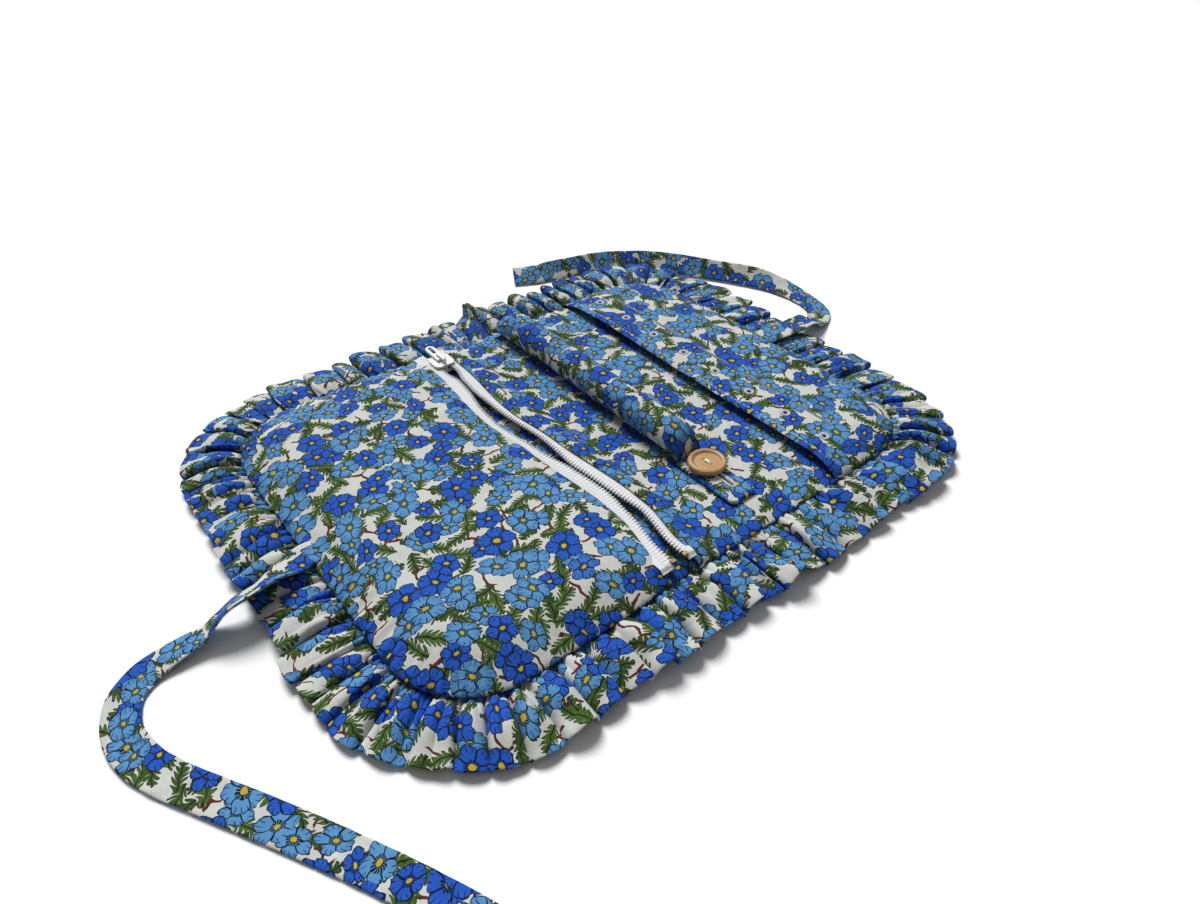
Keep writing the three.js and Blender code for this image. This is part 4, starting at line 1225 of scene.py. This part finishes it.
def coil_part(side, node):
    low, high = box(node)
    centre = (low + high) / 2
    turns = (high[1] - low[1] - 2 * COIL_WIRE) / COIL_PITCH
    turn = np.linspace(0, turns * TAU, int(turns * 12))
    y = low[1] + COIL_WIRE + turn * COIL_PITCH / TAU
    reach = (high[0] - low[0]) / 2 - COIL_WIRE
    x = centre[0] - side * zip_bow(y) + zip_sway(y)
    helix = joined(x + reach * np.cos(side * turn), y, centre[2] + reach * np.sin(side * turn))
    core_y = np.linspace(low[1] + COIL_WIRE, high[1] - COIL_WIRE, 90)
    core = joined(centre[0] - side * zip_bow(core_y) + zip_sway(core_y), core_y, centre[2])
    return merged([tube(helix, COIL_WIRE, 5, up=(0, 1, 0.01)), tube(core, reach - 0.25 * MM, 8)])


for side_name, side in (("near", -1), ("far", 1)):
    for kind, zip_part, material in (("tape", tape_part, ZIP_TAPE), ("coil", coil_part, ZIP_COIL)):
        node = f"zip_{kind}_{side_name}"
        obj = add_object(f"{kind}_{side_name}", zip_part(side, node), material)
        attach(obj, "near_half")
        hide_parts(node)


# Thread: each stitch is a short bent tube from one hole to the next
STITCH_PLUMPNESS = np.array([0.8, 0.95, 1.05, 1.1, 1.05, 0.95, 0.8])
SATIN_RISE = 0.42 * MM
SATIN_INSIDE = 0.15 * MM


def stitch(start, finish, height, radius=THREAD):
    """A stitch between two points that rises by a height between them."""
    start, finish = np.asarray(start, float), np.asarray(finish, float)
    t = np.linspace(0, 1, len(STITCH_PLUMPNESS))
    heading = finish - start
    path = start + heading * t[:, None]
    path[:, 2] += height * np.sin(math.pi * t) ** 0.7
    upright = abs(heading[2]) >= 0.9 * np.linalg.norm(heading)
    return tube(path, radius * STITCH_PLUMPNESS, 6, (1, 0, 0) if upright else (0, 0, 1))


def satin_edge(places, outward_ways, height, length, radius):
    """Close stitches over the edge of a hole, each from just inside it to a length outside."""
    parts = []
    for (x, y), (nx, ny) in zip(places, outward_ways):
        start = (x - nx * SATIN_INSIDE, y - ny * SATIN_INSIDE, height - 0.35 * MM)
        finish = (x + nx * length, y + ny * length, height - 0.1 * MM)
        parts.append(stitch(start, finish, SATIN_RISE, radius))
    return parts


def slot_outline(x, low_y, high_y, half_width, pitch):
    """Points round a long slot with round ends, and the outward direction at each."""
    straight = np.arange(low_y, high_y, pitch)
    turns = np.linspace(0, math.pi, max(3, int(math.pi * half_width / pitch) + 3))[1:-1]
    places = [(x + s * half_width, y) for s in (-1, 1) for y in straight]
    ways = [(s, 0.0) for s in (-1, 1) for _ in straight]
    for y, sign in ((high_y, 1), (low_y, -1)):
        places += [(x + half_width * math.cos(t), y + sign * half_width * math.sin(t)) for t in turns]
        ways += [(math.cos(t), sign * math.sin(t)) for t in turns]
    return places, ways


def slot_cutter(x, low_y, high_y, half_width, low_z, high_z):
    """An upright block with the outline of a slot."""
    turns = np.linspace(0, math.pi, 9)
    ring = [(x + half_width * math.cos(t), high_y + half_width * math.sin(t)) for t in turns]
    ring += [(x - half_width * math.cos(t), low_y - half_width * math.sin(t)) for t in turns]
    count = len(ring)
    points = [(px, py, z) for z in (low_z, high_z) for px, py in ring]
    faces = [tuple(range(count))[::-1], tuple(range(count, 2 * count))]
    faces += [(k, (k + 1) % count, (k + 1) % count + count, k + count) for k in range(count)]
    return outward(Part(points, faces, [[(0, 0)] * len(face) for face in faces]))


def hole_cutter(x, y, radius, low_z, high_z):
    return slot_cutter(x, y - 0.01 * MM, y + 0.01 * MM, radius, low_z, high_z)


def cut_away(obj, parts):
    """Takes the space of closed parts out of a closed object."""
    tool = add_object("cutter", merged(parts), obj.data.materials[0])
    modifier = obj.modifiers.new("cut", "BOOLEAN")
    modifier.operation = "DIFFERENCE"
    modifier.solver = "EXACT"
    modifier.object = tool
    graph = bpy.context.evaluated_depsgraph_get()
    cut = obj.evaluated_get(graph)
    mesh = bpy.data.meshes.new_from_object(cut, preserve_all_data_layers=True, depsgraph=graph)
    obj.modifiers.clear()
    obj.data = mesh
    bpy.data.objects.remove(tool)


def thread_object(name, parts, body, thread=WHITE_THREAD):
    obj = add_object(name, merged(parts), thread, smooth_angle=80)
    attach(obj, body)
    return obj


# Earring flap: sewn down on three sides, its free edge rolled, with stitched eyelets and slits
EYELETS = [f"eyelet_{k}" for k in range(1, 9)]
EYELET_STITCHES = 44
EYELET_BORDER = 1.95 * MM
EYELET_THREAD = 0.2 * MM
FLAP_CLOTH = 1.3 * MM
FLAP_ROLL = 0.8 * MM
FLAP_HEM = 0.35 * MM
FLAP_HEM_WIDTH = 3 * MM
FLAP_OVER_PAD = 0.15 * MM
FLAP_CUT = (10.5 * MM, 18 * MM)
SLIT_PLACE = FLAP_EDGE + 26 * MM
SLIT_LENGTH = 25 * MM
SLIT_SPACING = 38 * MM
SLIT_HALF_WIDTH = 0.35 * MM
SLIT_STITCH = 0.55 * MM
SLIT_THREAD = 0.17 * MM
TOPSTITCH_PLACE = FLAP_EDGE + 3.2 * MM
TOPSTITCH_PITCH = 3.1 * MM
TOPSTITCH_LENGTH = 2.3 * MM
TOPSTITCH_END = 101 * MM


def flap_tuck(x, y):
    """The height of a pinch in the flap's cloth by its seam, which falls off steeply on one side."""
    off = y - TUCK_Y - 9 * MM + 0.4 * (x - TUCK_START)
    width = np.where(off > 0, 6 * MM, 2.3 * MM)
    return TUCK_HEIGHT * bell(off, 0, width) * smoothstep(-10 * MM, 5 * MM, x - TUCK_START)


def flap_top(x, y):
    """The height of the flap's upper side, lifted here and there at its free edge."""
    inside = seam_frame(x, y)[0]
    full = FLAP_TOP - 0.3 * MM + 0.35 * MM * ripple(x, y, 46 * MM, 31) + flap_tuck(x, y)
    gape = 0.9 * MM * wander(y, 34 * MM, 33) * (1 - smoothstep(0, 24 * MM, x - FLAP_EDGE))
    return SEAM_TOP + (full + gape - SEAM_TOP) * puff(inside, FLAP_PUFF)


def flap_part():
    x, y = panel_grid(1, FLAP_EDGE, 170, 90)
    flap = Stuffed(x, y, 70)
    to_edge = x - FLAP_EDGE
    hem = FLAP_HEM * np.sin(math.pi * np.minimum(to_edge / FLAP_HEM_WIDTH, 1))
    thick = CLOTH_EDGE + (FLAP_CLOTH - CLOTH_EDGE) * smoothstep(0, 6 * MM, flap.inside)
    middle = flap_top(x, y) + flap.pucker - thick / 2 + hem * puff(flap.inside, FLAP_PUFF)
    half = thick / 2 * rolled(to_edge, FLAP_ROLL)
    pad = flap.height(PAD_TOP + 0.3 * MM + SEAM_HALF_GAP, FAR_PUFF)
    upper = np.maximum(middle + half, pad + FLAP_OVER_PAD)
    lower = np.maximum(middle - half, np.minimum(pad, upper - THINNEST))
    cloth = flap.cloth(FLAP_PUFF, FLAP_TOP - SEAM_HEIGHT, FLAP_SWELL)
    return flap.sheet(upper, lower, FLAP_SWELL, cloth)


def flap_height(x, y):
    return float(flap_top(np.array([x]), np.array([y]))[0])


flap = cotton_piece("flap_cloth", flap_part(), "earring_flap")
eyelet_low, eyelet_high = box(EYELETS[0])
eyelet_reach = (eyelet_high[0] - eyelet_low[0]) / 2
eyelet_hole = eyelet_reach - EYELET_BORDER
eyelet_places = [sum(box(node))[:2] / 2 for node in EYELETS]
slit_ends = SLIT_LENGTH / 2 - SLIT_HALF_WIDTH
slits = [(SLIT_PLACE, k * SLIT_SPACING - slit_ends, k * SLIT_SPACING + slit_ends) for k in range(-2, 3)]
cutters = [hole_cutter(x, y, eyelet_hole, *FLAP_CUT) for x, y in eyelet_places]
cutters += [slot_cutter(*slit, SLIT_HALF_WIDTH, *FLAP_CUT) for slit in slits]
cut_away(flap, cutters)
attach(flap, "far_half")

turns = np.arange(EYELET_STITCHES) * TAU / EYELET_STITCHES
eyelet_ways = [(math.cos(t), math.sin(t)) for t in turns]
for node, (x, y) in zip(EYELETS, eyelet_places):
    places = [(x + eyelet_hole * c, y + eyelet_hole * s) for c, s in eyelet_ways]
    length = EYELET_BORDER - 0.1 * MM
    stitches = satin_edge(places, eyelet_ways, flap_height(x, y), length, EYELET_THREAD)
    eyelet = thread_object(node.replace("_", "_stitches_"), stitches, "far_half", FLAP_THREAD)
    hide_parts(node)

slit_stitches = []
for slit in slits:
    for place, way in zip(*slot_outline(*slit, SLIT_HALF_WIDTH, SLIT_STITCH)):
        slit_stitches += satin_edge([place], [way], flap_height(*place), SLIT_STITCH, SLIT_THREAD)
slit_thread = thread_object("slit_stitches", slit_stitches, "far_half", FLAP_THREAD)

topstitches = []
for y in np.arange(-TOPSTITCH_END, TOPSTITCH_END, TOPSTITCH_PITCH):
    ends = [(TOPSTITCH_PLACE, at, flap_height(TOPSTITCH_PLACE, at)) for at in (y, y + TOPSTITCH_LENGTH)]
    topstitches.append(stitch(*ends, 0.28 * MM, 0.24 * MM))
flap_thread = thread_object("flap_topstitch", topstitches, "far_half")


# Ring bar: a stuffed tube, drawn together where it is sewn in and pinched where the tab leaves it
BAR_LOW, BAR_HIGH = box("bar_cover")
BAR_SEWN_Y = BAR_HIGH[1] + 3 * MM
BAR_RADIUS = (BAR_HIGH[2] - BAR_LOW[2]) / 2
BAR_MIDDLE = (BAR_LOW[0] + BAR_HIGH[0]) / 2
TAB_LOW, TAB_HIGH = box("bar_tab")
TAB_HALF_WIDTH = (TAB_HIGH[0] - TAB_LOW[0]) / 2
BAR_FLAT = 1.6 * MM
BAR_PLEATS = 11
BAR_PLEAT_HEIGHT = 0.55 * MM
BAR_SWAY = 0.5 * MM
BAR_SINK = 0.25 * MM


def bar_part():
    y = BAR_LOW[1] + (BAR_SEWN_Y - BAR_LOW[1]) * (0.5 + 0.5 * packed_towards_ends(150, 1.35))[:, None]
    turn = np.linspace(0, TAU, 65)[None, :] - math.pi / 2
    to_seam = np.clip((BAR_SEWN_Y - y) / (20 * MM), 0, 1)
    to_tab = np.clip((y - BAR_LOW[1]) / (13 * MM), 0, 1)
    fullness = rounded(np.minimum(to_seam, to_tab), 1)
    tall = BAR_FLAT + (BAR_RADIUS - BAR_FLAT) * fullness
    end_width = np.where(to_tab < to_seam, TAB_HALF_WIDTH - 0.3 * MM, BAR_RADIUS * 1.02)
    wide = end_width + (BAR_RADIUS - end_width) * fullness
    drawn = bell(y, BAR_HIGH[1], 13 * MM) + 0.8 * bell(y, BAR_LOW[1], 9 * MM)
    pleats = np.cos(BAR_PLEATS * turn + 3 * wander(y, 9 * MM, 51)) * drawn * BAR_PLEAT_HEIGHT
    around = turn * BAR_RADIUS
    lumps = 0.3 * MM * ripple(y, around, 26 * MM, 52) + 0.14 * MM * ripple(y, around, 9 * MM, 53)
    grow = 1 + ((pleats + lumps) * fullness - BAR_SINK) / BAR_RADIUS
    x = BAR_MIDDLE + wide * np.cos(turn) * grow + BAR_SWAY * wander(y, 45 * MM, 54) * fullness
    z = BAR_LOW[2] + np.maximum(tall + tall * np.sin(turn) * grow, 0.02 * MM)
    return closed_tube(joined(x, y, z)[:, :-1], joined(around + 0.23, y))


bar = cotton_piece("ring_bar_cloth", bar_part(), "bar_cover", "bar_stuffing", smooth_angle=80)
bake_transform(bar)


# Tab, its stitched buttonhole, and the wooden button sewn to the lining
BUTTON_LOW, BUTTON_HIGH = box("button")
BUTTON_X, BUTTON_Y = (BUTTON_LOW + BUTTON_HIGH)[:2] / 2
BUTTONHOLE = (BUTTON_X, BUTTON_Y - 18 * MM, BUTTON_Y + 3 * MM, 0.9 * MM)
BUTTONHOLE_STITCH = 1.5 * MM
TAB_CORNER = 3 * MM
TAB_UNDER_BAR = 2 * MM
TAB_ROUND = 1.3 * MM
TAB_SEAM_INSIDE = 2.4 * MM
TAB_CURL = 0.5 * MM


def tab_part():
    low, high = TAB_LOW, TAB_HIGH + np.array([0, TAB_UNDER_BAR, 0])
    middle, half = (low + high) / 2, (high - low) / 2
    y = packed_towards_ends(80)[:, None] * half[1]
    past = np.maximum(np.abs(y) - (half[1] - TAB_CORNER), 0)
    width = half[0] - TAB_CORNER + np.sqrt(np.maximum(TAB_CORNER**2 - past**2, 0))
    x = packed_towards_ends(34)[None, :] * width
    x, y = np.broadcast_arrays(x, y)
    edge = np.minimum(width - np.abs(x), half[1] - np.abs(y))
    plump = rounded(edge, TAB_ROUND)
    seam = 0.3 * MM * bell(edge, TAB_SEAM_INSIDE, 0.7 * MM)
    curl = TAB_CURL * smoothstep(0.4, 1, np.abs(x) / half[0]) * smoothstep(5 * MM, 20 * MM, -y)
    upper = half[2] * plump - seam + 0.12 * MM * ripple(x, y, 12 * MM, 61) * plump
    lower = -half[2] * (0.1 + 0.9 * plump)
    place_x, place_y, z = middle[0] + x, middle[1] + y, middle[2] + curl
    top, bottom = joined(place_x, place_y, z + upper), joined(place_x, place_y, z + lower)
    return closed_sheet(top, bottom, joined(x + 0.37, y + 0.05))


tab = cotton_piece("tab_cloth", tab_part(), "bar_tab")
cut_away(tab, [slot_cutter(*BUTTONHOLE, 5 * MM, 14 * MM)])
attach(tab, "ring_bar")
buttonhole_edge = satin_edge(*slot_outline(*BUTTONHOLE, 0.5 * MM), TAB_HIGH[2], BUTTONHOLE_STITCH, 0.22 * MM)
thread_object("buttonhole_stitches", buttonhole_edge, "ring_bar")

# The button's outline from the middle of its back to the middle of its face, in millimetres
BUTTON_PROFILE = [
    (0.0, 0.25), (6.4, 0.1), (7.8, 0.3), (9.1, 0.9), (9.85, 1.7), (10.0, 2.5), (9.75, 3.3), (9.2, 3.8),
    (8.5, 4.0), (7.8, 3.85), (7.2, 3.4), (6.8, 2.95), (6.3, 2.75), (5.8, 2.8), (3.0, 2.8), (0.0, 2.75),
]
BUTTON_SIDES = 96
BUTTON_FACE = BUTTON_LOW[2] + 2.8 * MM
BUTTON_HOLE_OFFSET = 2.2 * MM
BUTTON_HOLE_RADIUS = 0.95 * MM
BUTTON_HOLES = [BUTTON_Y + side * BUTTON_HOLE_OFFSET for side in (-1, 1)]
BUTTON_THREADS = 4
BUTTON_THREAD_SPACING = 0.42 * MM


def button_part():
    profile = smooth_curve([(r * MM, z * MM) for r, z in BUTTON_PROFILE], 0.25 * MM)
    radius, height = np.maximum(profile[:, :1], 0.02 * MM), profile[:, 1:]
    turn = np.arange(BUTTON_SIDES + 1)[None, :] * TAU / BUTTON_SIDES
    x, y = BUTTON_X + radius * np.cos(turn), BUTTON_Y + radius * np.sin(turn)
    return closed_tube(joined(x, y, BUTTON_LOW[2] + height)[:, :-1], joined(x, y))


wood = new_material("button_wood", turned_wood, (BUTTON_X, BUTTON_Y))
button = add_object("wooden_button", button_part(), wood, smooth_angle=40)
cut_away(button, [hole_cutter(BUTTON_X, y, BUTTON_HOLE_RADIUS, 5 * MM, 20 * MM) for y in BUTTON_HOLES])
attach(button, "far_half")
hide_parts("button")


def button_thread_parts():
    """Threads over the face and under the back from hole to hole, in the holes, and a shank to the lining."""
    back = BUTTON_LOW[2]
    reach = BUTTON_HOLE_OFFSET + 0.15 * MM
    runs = ((BUTTON_FACE - 0.3 * MM, 0.75 * MM), (back - 0.5 * MM, 0.2 * MM))
    parts = []
    for k in range(BUTTON_THREADS):
        x = BUTTON_X + (k - (BUTTON_THREADS - 1) / 2) * BUTTON_THREAD_SPACING
        for height, rise in runs:
            ends = [(x, BUTTON_Y - reach, height), (x, BUTTON_Y + reach, height)]
            parts.append(stitch(*ends, rise, 0.27 * MM))
        for y in BUTTON_HOLES:
            parts.append(stitch((x, y, back - 0.3 * MM), (x, y, BUTTON_FACE), 0, 0.25 * MM))
    lining = (BUTTON_X, BUTTON_Y, PAD_TOP - 0.2 * MM)
    return [*parts, stitch(lining, (BUTTON_X, BUTTON_Y, back), 0, 0.7 * MM)]


button_thread = thread_object("button_stitches", button_thread_parts(), "far_half")
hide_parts("button_thread")
